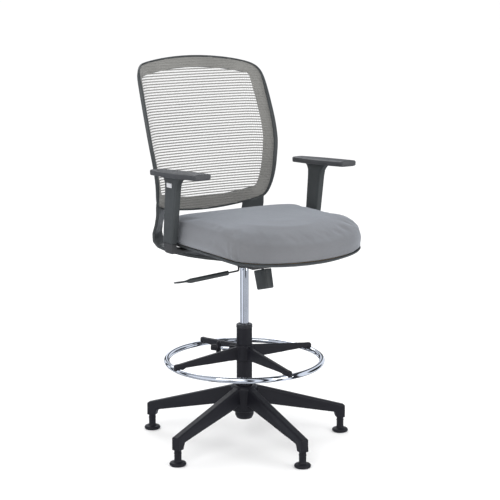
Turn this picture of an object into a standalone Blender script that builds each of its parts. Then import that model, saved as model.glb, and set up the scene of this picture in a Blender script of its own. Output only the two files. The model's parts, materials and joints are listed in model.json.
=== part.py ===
"""Drafting chair on five glides, with a foot ring, a synchronous tilt and height-adjustable arms.

Metres, +Z up. The chair faces -Y and the glides rest at z = 0. Every place in this file is measured
from the foot of the gas column; the root empty then moves the whole chair back by COLUMN_SETBACK.
Each object is one solid piece; empties mark the joint axes and carry the pieces that move on them.
"""

import math

import bmesh
import bpy
from mathutils import Matrix, Vector

# The column stands this far behind the floor point, so that the point is under the chair's middle
COLUMN_SETBACK = 0.030

# Clearances
SEAT_GAP = 0.0003            # between faces that rest on or are fixed to each other
RUN_GAP = 0.0006             # round pieces that turn or slide in each other

# Gas column
TUBE_R = 0.025
TUBE_WALL = 0.0015
TUBE_TOP_Z = 0.371
TUBE_TAIL_R = TUBE_R - 0.0045
TUBE_BOTTOM_Z = 0.078
TUBE_PLATE = 0.005
BUSH_HEAD_H = 0.012
BUSH_LENGTH = 0.095
CYLINDER_R = 0.014
CYLINDER_WALL = 0.0022
CYLINDER_BOTTOM_Z = 0.262
CYLINDER_TOP_Z = 0.606
CHAMBER_LENGTH = 0.205
TAPER_LENGTH = 0.046
TAPER_DROP = 0.0015
ROD_R = 0.005
ROD_NECK_R = 0.004
ROD_FLANGE_R = 0.010
ROD_FLANGE_H = 0.004
PISTON_H = 0.014
BEARING_R = 0.0150
BEARING_H = 0.008
CLIP_R = 0.009
CLIP_H = 0.003
PIN_R = 0.0035
PIN_STANDS = 0.006
PIN_DEPTH = 0.018

# Star base and glides
LEG_COUNT = 5
GLIDE_CIRCLE_R = 0.324
GLIDE_FOOT_R = 0.026
GLIDE_FOOT_H = 0.012
GLIDE_NECK_R = 0.0112
GLIDE_HEIGHT = 0.049
GLIDE_STEM_R = 0.0055
GLIDE_STEM_L = 0.022
LEG_TIP_TOP_Z = 0.090
LEG_TIP_DEPTH = 0.027
LEG_ROOT_DEPTH = 0.052
LEG_TOP_WIDTH = 0.025
LEG_FOOT_WIDTH = 0.028
HUB_R = TUBE_R + 0.018
HUB_TOP_Z = 0.184
HUB_BOTTOM_Z = 0.100
TAIL_R = TUBE_TAIL_R + 0.0095
TAIL_BOTTOM_Z = 0.073

# Foot ring
FOOTRING_R = 0.2468
FOOTRING_TUBE_R = 0.0088
FOOTRING_Z = 0.266
COLLAR_R = TUBE_R + 0.0035
COLLAR_BOTTOM_Z = 0.265
COLLAR_TOP_Z = 0.316
SPOKE_WIDTH = 0.016
SPOKE_ROOT_DEPTH = 0.042
SPOKE_TIP_DEPTH = 0.015
SADDLE_DEPTH = 0.004
SPOKE_COUNT = 4
CLAMP_AZIMUTH = 135.0
CLAMP_Z = 0.300
CLAMP_BOSS_R = 0.011
CLAMP_BOSS_LENGTH = 0.020
STUD_R = 0.004
KNOB_START = COLLAR_R + CLAMP_BOSS_LENGTH + 0.0295
KNOB_FLANGE_R = 0.0235
KNOB_FLANGE_H = 0.010
KNOB_NECK_R = 0.0105

# Tilt mechanism
HOUSING_HALF_WIDTH = 0.055
HOUSING_WALL = 0.004
HOUSING_BOTTOM_Z = 0.585
HOUSING_TOP_Z = 0.622
HOUSING_FRONT_Y = -0.130
HOUSING_REAR_Y = 0.026
SOCKET_R = CYLINDER_R + 0.008
SOCKET_BOTTOM_Z = 0.567
SOCKET_TOP_Z = 0.600
EAR_LENGTH = 0.028
BACK_PIVOT = (-0.010, 0.600)
SEAT_PIVOT = (-0.115, 0.634)
LINK_PIN = (0.050, 0.622)
PIVOT_R = 0.006
PIVOT_HEAD_R = 0.009
SEAT_PIN_R = 0.004
LINK_R = 0.004
LINK_SLOT_HALF = 0.008
LINK_SLOT_PLAY = 0.0016
BRACKET_PLATE = 0.003
BRACKET_EAR = 0.005
CROSSBAR_R = 0.007
CROSSBAR = (0.083, 0.612)
TENSION_TOP = (-0.101, 0.585)
TENSION_LEAN = 16.0
TENSION_KNOB_R = 0.0275
TENSION_KNOB_LENGTH = 0.069
TENSION_BOLT_R = 0.004
SPRING_R = 0.0135
SPRING_WIRE_R = 0.0022
SPRING_TURNS = 3
SPRING_RISE = 0.018
SPRING_PLATE_H = 0.003

# Height lever, in the plane LEVER_Y
LEVER_Y = -0.035
LEVER_R = 0.003
LEVER_PIVOT = (-0.044, 0.598)
LEVER_BEND_Z = 0.566
LEVER_FAR_Z = 0.5545
LEVER_END_X = -0.215
GRIP_START_X = -0.083
GRIP_END_X = -0.222
GRIP_TIP_X = -0.278
GRIP_R = 0.0075

# Seat
SEAT_HALF_WIDTH = 0.244
SEAT_REAR_Y = 0.136
SEAT_FRONT_Y = -0.395
SEAT_FRONT_SQUARENESS = 10.0
SEAT_REAR_SQUARENESS = 6.5
SEAT_BOTTOM_Z = 0.651
SHELL_FLOOR = 0.004
SHELL_RIM_Z = 0.664
SHELL_LIP = 0.010
BOARD_THICKNESS = 0.008
CUSHION_THICKNESS = 0.080
CUSHION_CROWN = 0.005
CUSHION_BULGE = 0.004
FRONT_BOW = 0.080
FRONT_DROOP = 0.013
FRONT_TOP_DROOP = 0.021
DROOP_LENGTH = 0.170
REAR_DROOP = 0.012
REAR_DROOP_LENGTH = 0.130

# Arms
ARM_THICKNESS = 0.022
ARM_X = SEAT_HALF_WIDTH + 0.0105 + ARM_THICKNESS / 2    # clear of the cushion's side
ARM_DEPTH = 0.056
ARM_LEAN = 0.12
ARM_FOOT_Z = 0.672
ARM_CENTRE_Y = 0.006
ARM_TOP_Z = 0.877
ARM_TRAVEL = 0.070
UPRIGHT_THICKNESS = 0.006
UPRIGHT_DEPTH = 0.034
UPRIGHT_TOP_Z = 0.800
ARM_BRACKET_THICKNESS = 0.011
ARM_BRACKET_INNER_X = SEAT_HALF_WIDTH - 0.094
PAD_THICKNESS = 0.018
PAD_FRONT_Y = -0.188
PAD_REAR_Y = 0.100
PAD_SLOPE = 0.06
PAD_HALF_FRONT = 0.028
PAD_HALF_MIDDLE = 0.037
PAD_HALF_REAR = 0.022
BUTTON_WIDTH = 0.028
BUTTON_HEIGHT = 0.014
BUTTON_DEPTH = 0.0045
BUTTON_PROUD = 0.0012
BUTTON_TRAVEL = 0.0025

# Back
BACK_TOP_Z = 1.210
BACK_BOTTOM_Z = 0.718
BACK_HALF_WIDTH = 0.243
BACK_WIDEST_Z = 1.000
BACK_NARROWING_LOW = 0.44
BACK_NARROWING_HIGH = 0.22
BACK_ARCH_TOP = 0.52
BACK_ARCH_BOTTOM = 0.60
BACK_SQUARENESS_TOP = 14.0
BACK_SQUARENESS_BOTTOM = 10.0
LUMBAR_Y = 0.218
LUMBAR_Z = 0.812
LUMBAR_ROUND = 0.070
BACK_LEAN = 0.36
WRAP = 0.35
WRAP_EDGE_X = 0.185
WRAP_EDGE_SLOPE = 1.0
WRAP_EDGE_ROUND = 0.012
BAND_SIDE = 0.033
BAND_TOP = 0.037
BAND_BOTTOM = 0.045
RIM_SIDE_WIDTH = 0.008
RIM_SIDE_HEIGHT = 0.010
RIM_END_WIDTH = 0.005
RIM_END_HEIGHT = 0.003
FRAME_THICKNESS = 0.007
FRAME_REAR_INSET = 0.016
MESH_THICKNESS = 0.0025
STRUT_THICKNESS = 0.010
STRUT_OUTER = (0.206, 0.194)
STRUT_INNER = (0.153, 0.244)
STRUT_INNER_X = 0.150
STRUT_TONGUE_WIDTH = 0.025
STRUT_TOP_Z = 0.795
ARM_RUN_Z = 0.613
SCREW_HEAD_R = 0.0055
SCREW_HEAD_H = 0.003

FULL_TURN = 2.0 * math.pi
SIDES = ((-1, "right"), (1, "left"))


# ---------------------------------------------------------------- scene helpers
def clear_scene():
    for item in list(bpy.data.objects):
        bpy.data.objects.remove(item, do_unlink=True)


def make_material(name, colour, roughness, metallic=0.0):
    material = bpy.data.materials.new(name)
    material.use_nodes = True
    shader = material.node_tree.nodes["Principled BSDF"]
    shader.inputs["Base Color"].default_value = (*colour, 1.0)
    shader.inputs["Roughness"].default_value = roughness
    shader.inputs["Metallic"].default_value = metallic
    material.diffuse_color = (*colour, 1.0)
    return material


def make_axis(name, location, parent=None):
    """An empty that marks a joint and carries the pieces that move on it."""
    axis = bpy.data.objects.new(name, None)
    bpy.context.scene.collection.objects.link(axis)
    axis.empty_display_size = 0.03
    parent_place = Vector((0, 0, 0))
    if parent is not None:
        axis.parent = parent
        parent_place = Vector(parent["place"])
    axis.location = Vector(location) - parent_place
    axis["place"] = list(location)
    return axis


def make_piece(name, shape, material, axis, smooth_angle=35.0):
    """Turns a bmesh in world coordinates into an object whose origin is its axis."""
    place = Vector(axis["place"])
    bmesh.ops.remove_doubles(shape, verts=shape.verts, dist=1e-6)
    bmesh.ops.recalc_face_normals(shape, faces=shape.faces)
    bmesh.ops.translate(shape, verts=shape.verts, vec=-place)
    mesh = bpy.data.meshes.new(name)
    shape.to_mesh(mesh)
    shape.free()
    mesh.materials.append(material)
    mesh.shade_smooth()
    mesh.set_sharp_from_angle(angle=math.radians(smooth_angle))
    piece = bpy.data.objects.new(name, mesh)
    bpy.context.scene.collection.objects.link(piece)
    piece.parent = axis
    return piece


def add_boolean(piece, shape, axis, operation):
    """Joins or cuts a piece with a second shape, which stays as a hidden guide."""
    name = f"{piece.name}_guide_{len(piece.modifiers)}"
    guide = make_piece(name, shape, piece.data.materials[0], axis)
    guide.hide_render = True
    guide.display_type = "WIRE"
    modifier = piece.modifiers.new(operation.lower(), "BOOLEAN")
    modifier.operation = operation
    modifier.solver = "EXACT"
    modifier.object = guide


# ---------------------------------------------------------------- shape helpers
def turned(profile, segments=32):
    """A profile of (radius, height) points spun about Z. It closes on itself unless it ends on the axis."""
    shape = bmesh.new()
    points = [shape.verts.new((radius, 0.0, height)) for radius, height in profile]
    edges = [shape.edges.new(pair) for pair in zip(points, points[1:])]
    if profile[0][0] > 0.0 or profile[-1][0] > 0.0:
        edges.append(shape.edges.new((points[-1], points[0])))
    bmesh.ops.spin(
        shape,
        geom=points + edges,
        cent=(0, 0, 0),
        axis=(0, 0, 1),
        angle=FULL_TURN,
        steps=segments,
        use_merge=True,
    )
    bmesh.ops.remove_doubles(shape, verts=shape.verts, dist=1e-6)
    return shape


def placed(shape, place, direction=(0, 0, 1)):
    """Moves a shape made along Z so that it runs from place along direction."""
    turn = Vector((0, 0, 1)).rotation_difference(Vector(direction)).to_matrix().to_4x4()
    bmesh.ops.transform(shape, matrix=Matrix.Translation(place) @ turn, verts=shape.verts)
    return shape


def rod(radius, start, end, segments=24):
    """A plain round bar between two points."""
    start = Vector(start)
    along = Vector(end) - start
    profile = [(0, 0), (radius, 0), (radius, along.length), (0, along.length)]
    return placed(turned(profile, segments), start, along)


def block(low, high, bevel=0.0):
    """A box between two corners, with its edges rounded off by one flat."""
    shape = bmesh.new()
    size = [b - a for a, b in zip(low, high)]
    middle = [(a + b) / 2 for a, b in zip(low, high)]
    bmesh.ops.create_cube(shape, size=1.0)
    bmesh.ops.scale(shape, vec=size, verts=shape.verts)
    bmesh.ops.translate(shape, vec=middle, verts=shape.verts)
    if bevel:
        bmesh.ops.bevel(shape, geom=shape.edges[:], offset=bevel, segments=1, affect="EDGES")
    return shape


def lofted(sections, closed=False):
    """Skins a list of loops with the same number of points each; open ends are capped."""
    shape = bmesh.new()
    loops = [[shape.verts.new(point) for point in section] for section in sections]
    pairs = list(zip(loops, loops[1:]))
    if closed:
        pairs.append((loops[-1], loops[0]))
    for first, second in pairs:
        count = len(first)
        for i in range(count):
            j = (i + 1) % count
            shape.faces.new((first[i], first[j], second[j]))
            shape.faces.new((first[i], second[j], second[i]))
    if not closed:
        shape.faces.new(loops[0])
        shape.faces.new(loops[-1])
    return shape


def oval(centre, across, up, half_width, half_height, power=2.0, count=12):
    """Points of a rounded section about centre, spanned by two unit directions."""
    centre, across, up = Vector(centre), Vector(across), Vector(up)
    points = []
    for i in range(count):
        angle = FULL_TURN * i / count
        c, s = math.cos(angle), math.sin(angle)
        a = math.copysign(abs(c) ** (2.0 / power), c) * half_width
        b = math.copysign(abs(s) ** (2.0 / power), s) * half_height
        points.append(centre + across * a + up * b)
    return points


def swept(points, radius, sides=10):
    """A round bar along a bent line of points."""
    points = [Vector(point) for point in points]
    sections = []
    across = None
    for i, point in enumerate(points):
        before = points[max(i - 1, 0)]
        after = points[min(i + 1, len(points) - 1)]
        along = (after - before).normalized()
        if across is None:
            across = along.orthogonal().normalized()
        across = (across - along * across.dot(along)).normalized()
        sections.append(oval(point, across, along.cross(across), radius, radius, 2.0, sides))
    return lofted(sections)


def bent_line(corners, radius, steps=5):
    """A line through corners whose turns are rounded to the given radius."""
    corners = [Vector(corner) for corner in corners]
    line = [corners[0]]
    for before, corner, after in zip(corners, corners[1:], corners[2:]):
        back = (before - corner).normalized()
        ahead = (after - corner).normalized()
        reach = radius / math.tan(back.angle(ahead) / 2.0)
        start, end = corner + back * reach, corner + ahead * reach
        for i in range(steps + 1):
            t = i / steps
            line.append(start * (1 - t) ** 2 + corner * 2 * t * (1 - t) + end * t * t)
    line.append(corners[-1])
    return line


def smooth_step(value):
    value = min(max(value, 0.0), 1.0)
    return value * value * (3.0 - 2.0 * value)


# ---------------------------------------------------------------- back surface
def profile_y(z):
    """The middle line of the back: a lumbar bulge that leans away above and below it."""
    rise = z - LUMBAR_Z
    return LUMBAR_Y + BACK_LEAN * (math.hypot(rise, LUMBAR_ROUND) - LUMBAR_ROUND)


def wrap_depth(x):
    """How far the back comes forward at a distance from its middle."""
    beyond = abs(x) - WRAP_EDGE_X
    ramp = 0.5 * (beyond + math.hypot(beyond, WRAP_EDGE_ROUND))
    return WRAP * x * x + WRAP_EDGE_SLOPE * ramp


def back_point(x, z, offset=0.0):
    """A point on the back's front surface, moved forward by offset along its normal."""
    step = 0.001
    along_x = Vector((2 * step, -(wrap_depth(x + step) - wrap_depth(x - step)), 0.0))
    along_z = Vector((0.0, profile_y(z + step) - profile_y(z - step), 2 * step))
    normal = along_x.cross(along_z).normalized()
    return Vector((x, profile_y(z) - wrap_depth(x), z)) + normal * offset


def outline_xz(angle, inset=0.0):
    """The back's outline: a squarish oval that narrows downwards, arched at the top and bottom."""
    c, s = math.cos(angle), math.sin(angle)
    power = BACK_SQUARENESS_TOP if s > 0 else BACK_SQUARENESS_BOTTOM
    radius = (abs(c) ** power + abs(s) ** power) ** (-1.0 / power)
    half_height = (BACK_TOP_Z - BACK_BOTTOM_Z) / 2.0
    z = (BACK_TOP_Z + BACK_BOTTOM_Z) / 2.0 + half_height * radius * s
    above = z - BACK_WIDEST_Z
    narrowing = BACK_NARROWING_HIGH if above > 0 else BACK_NARROWING_LOW
    half_width = BACK_HALF_WIDTH - narrowing * above * above
    x = half_width * radius * c
    arch = BACK_ARCH_TOP if s > 0 else -BACK_ARCH_BOTTOM
    z -= arch * x * x * smooth_step(abs(s) * 2.0)
    band_end = BAND_TOP if s > 0 else BAND_BOTTOM
    z_share = 1.0 - inset * band_end / half_height
    x_share = 1.0 - inset * BAND_SIDE / BACK_HALF_WIDTH
    middle = (BACK_TOP_Z + BACK_BOTTOM_Z) / 2.0
    return x * x_share, middle + (z - middle) * z_share


def outline_angles(count):
    """Angles round the outline, closer together at its corners."""
    evenly = [FULL_TURN * i / count for i in range(count)]
    return [angle + 0.2 * math.sin(4.0 * angle) for angle in evenly]


def rim_size(angle):
    """The width and height of the frame's raised rim: bold down the sides, slim along top and bottom."""
    share = smooth_step((abs(math.cos(angle)) - 0.60) / 0.25)
    width = RIM_END_WIDTH + (RIM_SIDE_WIDTH - RIM_END_WIDTH) * share
    height = RIM_END_HEIGHT + (RIM_SIDE_HEIGHT - RIM_END_HEIGHT) * share
    return width, height


# ---------------------------------------------------------------- base and column
def glide_profile():
    foot, neck = GLIDE_FOOT_R, GLIDE_NECK_R
    top = GLIDE_HEIGHT - SEAT_GAP
    return [
        (0.0, 0.0),
        (foot - 0.003, 0.0),
        (foot, 0.003),
        (foot, GLIDE_FOOT_H - 0.003),
        (foot * 0.84, GLIDE_FOOT_H + 0.001),
        (neck * 1.25, GLIDE_FOOT_H + 0.008),
        (neck, GLIDE_FOOT_H + 0.013),
        (neck, top),
        (GLIDE_STEM_R, top),
        (GLIDE_STEM_R, top + GLIDE_STEM_L),
        (0.0, top + GLIDE_STEM_L),
    ]


def leg_section(radius, top_z, depth, top_width, foot_width, direction):
    """One cross section of a leg: a flat top, sides that spread downwards, edges broken."""
    along = Vector((math.cos(direction), math.sin(direction), 0.0))
    across = Vector((-along.y, along.x, 0.0))
    break_edge = 0.003
    half_top, half_foot = top_width / 2.0, foot_width / 2.0
    outline = [
        (-half_foot, -depth),
        (half_foot, -depth),
        (half_foot, -depth + break_edge),
        (half_top + 0.0005, -break_edge),
        (half_top - break_edge, 0.0),
        (-half_top + break_edge, 0.0),
        (-half_top - 0.0005, -break_edge),
        (-half_foot, -depth + break_edge),
    ]
    return [along * radius + across * a + Vector((0, 0, top_z + b)) for a, b in outline]


def make_leg(direction):
    """A leg from inside the hub to the boss over its glide."""
    tip_r = GLIDE_CIRCLE_R + LEG_FOOT_WIDTH / 2.0 - 0.001
    boss_r = GLIDE_CIRCLE_R - LEG_FOOT_WIDTH / 2.0
    root_r = HUB_R * 0.75
    root_z = HUB_TOP_Z - 0.002
    slope = (root_z - LEG_TIP_TOP_Z) / (tip_r - root_r)
    boss_depth = LEG_TIP_TOP_Z - GLIDE_HEIGHT
    wide = LEG_FOOT_WIDTH
    stations = [
        (root_r, LEG_ROOT_DEPTH + 0.004, wide + 0.006),
        (boss_r - 0.006, LEG_TIP_DEPTH + 0.004, wide - 0.003),
        (boss_r, boss_depth + slope * (tip_r - boss_r), wide - 0.003),
        (tip_r, boss_depth, wide - 0.001),
    ]
    sections = []
    for radius, depth, width in stations:
        top_z = LEG_TIP_TOP_Z + slope * (tip_r - radius)
        sections.append(leg_section(radius, top_z, depth, LEG_TOP_WIDTH, width, direction))
    return lofted(sections)


def leg_directions():
    return [math.radians(-90.0 + 360.0 / LEG_COUNT * i) for i in range(LEG_COUNT)]


def tube_radius(z):
    """The column tube is straight above the hub and tapers inside it."""
    share = (HUB_TOP_Z - z) / (HUB_TOP_Z - TUBE_BOTTOM_Z)
    return TUBE_R - (TUBE_R - TUBE_TAIL_R) * min(max(share, 0.0), 1.0)


def make_base(axis, nylon):
    hub = [
        (tube_radius(HUB_TOP_Z) + SEAT_GAP, HUB_TOP_Z),
        (HUB_R - 0.007, HUB_TOP_Z),
        (HUB_R, HUB_TOP_Z - 0.008),
        (HUB_R, HUB_BOTTOM_Z + 0.003),
        (HUB_R - 0.003, HUB_BOTTOM_Z),
        (TAIL_R, HUB_BOTTOM_Z),
        (TAIL_R, TAIL_BOTTOM_Z + 0.012),
        (TAIL_R - 0.006, TAIL_BOTTOM_Z),
        (TUBE_TAIL_R + SEAT_GAP, TAIL_BOTTOM_Z),
        (TUBE_TAIL_R + SEAT_GAP, TUBE_BOTTOM_Z),
    ]
    base = make_piece("star_base", turned(hub), nylon, axis)
    for direction in leg_directions():
        add_boolean(base, make_leg(direction), axis, "UNION")
    bore = [(0, TUBE_BOTTOM_Z - 0.02), (TUBE_TAIL_R + SEAT_GAP, TUBE_BOTTOM_Z - 0.02)]
    bore += [(TUBE_TAIL_R + SEAT_GAP, TUBE_BOTTOM_Z), (TUBE_R + SEAT_GAP, HUB_TOP_Z)]
    bore += [(TUBE_R + SEAT_GAP, HUB_TOP_Z + 0.02), (0, HUB_TOP_Z + 0.02)]
    add_boolean(base, turned(bore), axis, "DIFFERENCE")
    for direction in leg_directions():
        x, y = GLIDE_CIRCLE_R * math.cos(direction), GLIDE_CIRCLE_R * math.sin(direction)
        top = GLIDE_HEIGHT + GLIDE_STEM_L
        hole = rod(GLIDE_STEM_R + SEAT_GAP, (x, y, GLIDE_HEIGHT - 0.01), (x, y, top), 20)
        add_boolean(base, hole, axis, "DIFFERENCE")


def make_glides(axis, nylon):
    for number, direction in enumerate(leg_directions(), start=1):
        x, y = GLIDE_CIRCLE_R * math.cos(direction), GLIDE_CIRCLE_R * math.sin(direction)
        shape = placed(turned(glide_profile(), 20), (x, y, 0.0))
        make_piece(f"glide_{number}", shape, nylon, axis)


def make_column(axis, nylon, steel, acetal):
    bore = TUBE_R - TUBE_WALL
    tail_bore = TUBE_TAIL_R - TUBE_WALL
    plate_top = TUBE_BOTTOM_Z + TUBE_PLATE
    tube = [
        (ROD_NECK_R + RUN_GAP, TUBE_BOTTOM_Z),
        (TUBE_TAIL_R, TUBE_BOTTOM_Z),
        (TUBE_R, HUB_TOP_Z),
        (TUBE_R, TUBE_TOP_Z),
        (bore, TUBE_TOP_Z),
        (bore, HUB_TOP_Z),
        (tail_bore, plate_top),
        (ROD_NECK_R + RUN_GAP, plate_top),
    ]
    make_piece("column_tube", turned(tube), nylon, axis)
    head_z = TUBE_TOP_Z + SEAT_GAP
    bush = [
        (CYLINDER_R + RUN_GAP, TUBE_TOP_Z - BUSH_LENGTH),
        (bore - SEAT_GAP, TUBE_TOP_Z - BUSH_LENGTH),
        (bore - SEAT_GAP, head_z),
        (TUBE_R + 0.0008, head_z),
        (TUBE_R + 0.0008, head_z + BUSH_HEAD_H - 0.002),
        (TUBE_R - 0.001, head_z + BUSH_HEAD_H),
        (CYLINDER_R + RUN_GAP, head_z + BUSH_HEAD_H),
    ]
    make_piece("guide_bush", turned(bush), acetal, axis)
    bearing_z = plate_top + SEAT_GAP
    bearing = [
        (ROD_NECK_R + RUN_GAP, bearing_z),
        (BEARING_R, bearing_z),
        (BEARING_R, bearing_z + BEARING_H),
        (ROD_NECK_R + RUN_GAP, bearing_z + BEARING_H),
    ]
    make_piece("thrust_bearing", turned(bearing, 24), steel, axis)


def make_piston(axis, steel):
    """The rod that the base holds: it turns on the thrust bearing and carries the piston."""
    flange_z = TUBE_BOTTOM_Z + TUBE_PLATE + BEARING_H + 2 * SEAT_GAP
    clip_top = TUBE_BOTTOM_Z - SEAT_GAP
    clip_bottom = clip_top - CLIP_H
    piston_r = CYLINDER_R - CYLINDER_WALL - RUN_GAP
    piston_z = CYLINDER_BOTTOM_Z + 0.028
    shaft = [
        (0.0, clip_bottom - 0.002),
        (ROD_NECK_R, clip_bottom - 0.002),
        (ROD_NECK_R, flange_z),
        (ROD_FLANGE_R, flange_z),
        (ROD_FLANGE_R, flange_z + ROD_FLANGE_H),
        (ROD_R, flange_z + ROD_FLANGE_H),
        (ROD_R, piston_z),
        (piston_r, piston_z),
        (piston_r, piston_z + PISTON_H),
        (0.0, piston_z + PISTON_H),
    ]
    make_piece("piston_rod", turned(shaft, 24), steel, axis)
    clip = [
        (ROD_NECK_R + SEAT_GAP, clip_bottom),
        (CLIP_R, clip_bottom),
        (CLIP_R, clip_top),
        (ROD_NECK_R + SEAT_GAP, clip_top),
    ]
    make_piece("rod_clip", turned(clip, 24), steel, axis)


def cylinder_radius(z):
    """The cylinder is straight up to the taper that wedges it into the mechanism."""
    share = (z - (CYLINDER_TOP_Z - TAPER_LENGTH)) / TAPER_LENGTH
    return CYLINDER_R - TAPER_DROP * min(max(share, 0.0), 1.0)


def make_cylinder(axis, chrome):
    chamber = CYLINDER_R - CYLINDER_WALL
    floor_z = CYLINDER_BOTTOM_Z + 0.006
    pin_bore = PIN_R + SEAT_GAP
    outside = [
        (ROD_R + RUN_GAP, CYLINDER_BOTTOM_Z),
        (CYLINDER_R, CYLINDER_BOTTOM_Z),
        (CYLINDER_R, CYLINDER_TOP_Z - TAPER_LENGTH),
        (CYLINDER_R - TAPER_DROP, CYLINDER_TOP_Z),
        (pin_bore, CYLINDER_TOP_Z),
        (pin_bore, CYLINDER_TOP_Z - PIN_DEPTH),
        (0.0, CYLINDER_TOP_Z - PIN_DEPTH),
    ]
    inside = [
        (0.0, floor_z + CHAMBER_LENGTH),
        (chamber, floor_z + CHAMBER_LENGTH),
        (chamber, floor_z),
        (ROD_R + RUN_GAP, floor_z),
    ]
    shape = turned_open(outside, inside)
    make_piece("pressure_cylinder", shape, chrome, axis)


def turned_open(outside, inside):
    """A body with a pocket from each end: two lines that start on a shared ring and end on the axis."""
    shape = bmesh.new()
    line = [shape.verts.new((radius, 0.0, height)) for radius, height in inside + outside]
    edges = [shape.edges.new(pair) for pair in zip(line, line[1:])]
    bmesh.ops.spin(
        shape,
        geom=line + edges,
        cent=(0, 0, 0),
        axis=(0, 0, 1),
        angle=FULL_TURN,
        steps=32,
        use_merge=True,
    )
    bmesh.ops.remove_doubles(shape, verts=shape.verts, dist=1e-6)
    return shape


def make_release_pin(axis, steel):
    top = CYLINDER_TOP_Z + PIN_STANDS
    bottom = CYLINDER_TOP_Z - PIN_DEPTH + 0.004
    make_piece("release_pin", rod(PIN_R, (0, 0, bottom), (0, 0, top), 16), steel, axis)


# ---------------------------------------------------------------- foot ring
def ring_shape(tube_r, segments=56, sides=10):
    profile = []
    for i in range(sides):
        angle = FULL_TURN * i / sides
        profile.append((FOOTRING_R + tube_r * math.cos(angle), tube_r * math.sin(angle)))
    return placed(turned(profile, segments), (0, 0, FOOTRING_Z))


def make_footring(axis, chrome, nylon):
    make_piece("footring_tube", ring_shape(FOOTRING_TUBE_R), chrome, axis)
    bore = TUBE_R + RUN_GAP
    collar = [
        (bore, COLLAR_BOTTOM_Z),
        (COLLAR_R, COLLAR_BOTTOM_Z),
        (COLLAR_R + 0.001, COLLAR_BOTTOM_Z + 0.003),
        (COLLAR_R, COLLAR_TOP_Z - 0.002),
        (COLLAR_R - 0.001, COLLAR_TOP_Z),
        (bore, COLLAR_TOP_Z),
    ]
    spider = make_piece("footring_spider", turned(collar), nylon, axis)
    for i in range(SPOKE_COUNT):
        add_boolean(spider, make_spoke(FULL_TURN * i / SPOKE_COUNT), axis, "UNION")
    direction = clamp_direction()
    boss_start = direction * (bore + 0.001) + Vector((0, 0, CLAMP_Z))
    boss_end = direction * (COLLAR_R + CLAMP_BOSS_LENGTH) + Vector((0, 0, CLAMP_Z))
    add_boolean(spider, rod(CLAMP_BOSS_R, boss_start, boss_end, 20), axis, "UNION")
    stud_end = direction * (COLLAR_R + CLAMP_BOSS_LENGTH + 0.02) + Vector((0, 0, CLAMP_Z))
    stud_hole = rod(STUD_R + SEAT_GAP, Vector((0, 0, CLAMP_Z)), stud_end, 16)
    add_boolean(spider, stud_hole, axis, "DIFFERENCE")
    add_boolean(spider, ring_shape(FOOTRING_TUBE_R + SEAT_GAP), axis, "DIFFERENCE")


def make_spoke(direction):
    """A spoke that tapers outwards and ends in a saddle over the ring."""
    along = Vector((math.cos(direction), math.sin(direction), 0.0))
    across = Vector((-along.y, along.x, 0.0))
    half = SPOKE_WIDTH / 2.0
    tip_r = FOOTRING_R + 0.008
    heel_r = FOOTRING_R - 0.010
    ring_top = FOOTRING_Z + FOOTRING_TUBE_R
    tip_top = ring_top + SPOKE_TIP_DEPTH - SADDLE_DEPTH
    root_top = COLLAR_TOP_Z - 0.004
    stations = [
        (TUBE_R + RUN_GAP + 0.0012, root_top, SPOKE_ROOT_DEPTH, half),
        (heel_r - 0.016, tip_top + 0.003, SPOKE_TIP_DEPTH + 0.001, half),
        (heel_r, tip_top + 0.001, SPOKE_TIP_DEPTH + FOOTRING_TUBE_R * 0.7, half),
        (tip_r, tip_top, SPOKE_TIP_DEPTH + FOOTRING_TUBE_R * 0.7, half),
        (tip_r + 0.003, tip_top - 0.003, SPOKE_TIP_DEPTH, half * 0.8),
    ]
    sections = []
    for radius, top_z, depth, half_width in stations:
        outline = [
            (-half_width, -depth),
            (half_width, -depth),
            (half_width, -0.003),
            (half_width - 0.003, 0.0),
            (-half_width + 0.003, 0.0),
            (-half_width, -0.003),
        ]
        sections.append(
            [along * radius + across * a + Vector((0, 0, top_z + b)) for a, b in outline]
        )
    return lofted(sections)


def clamp_direction():
    angle = math.radians(CLAMP_AZIMUTH)
    return Vector((math.cos(angle), math.sin(angle), 0.0))


def make_clamp(axis, nylon, chrome):
    direction = clamp_direction()
    place = Vector((0, 0, CLAMP_Z))
    stud_start = direction * (TUBE_R + SEAT_GAP)
    stud_end = direction * (KNOB_START + 0.012)
    stud = rod(STUD_R, place + stud_start, place + stud_end, 16)
    make_piece("clamp_stud", stud, chrome, axis)
    grip_end = KNOB_FLANGE_H + 0.020
    knob = [
        (STUD_R + SEAT_GAP, 0.0),
        (KNOB_NECK_R, 0.0),
        (KNOB_FLANGE_R - 0.002, 0.002),
        (KNOB_FLANGE_R, 0.004),
        (KNOB_FLANGE_R, KNOB_FLANGE_H - 0.002),
        (KNOB_FLANGE_R - 0.002, KNOB_FLANGE_H),
        (KNOB_NECK_R, KNOB_FLANGE_H + 0.002),
        (KNOB_NECK_R - 0.001, grip_end),
        (0.0, grip_end + 0.002),
        (0.0, 0.013),
        (STUD_R + SEAT_GAP, 0.013),
    ]
    shape = placed(turned(knob[:9] + knob[9:], 28), place + direction * KNOB_START, direction)
    make_piece("clamp_knob", shape, nylon, axis)


# ---------------------------------------------------------------- tilt mechanism
def side_pin(pivot, inner_x, outer_x, radius, segments=20):
    """A round bar along X at a (y, z) place."""
    y, z = pivot
    return rod(radius, (inner_x, y, z), (outer_x, y, z), segments)


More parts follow.
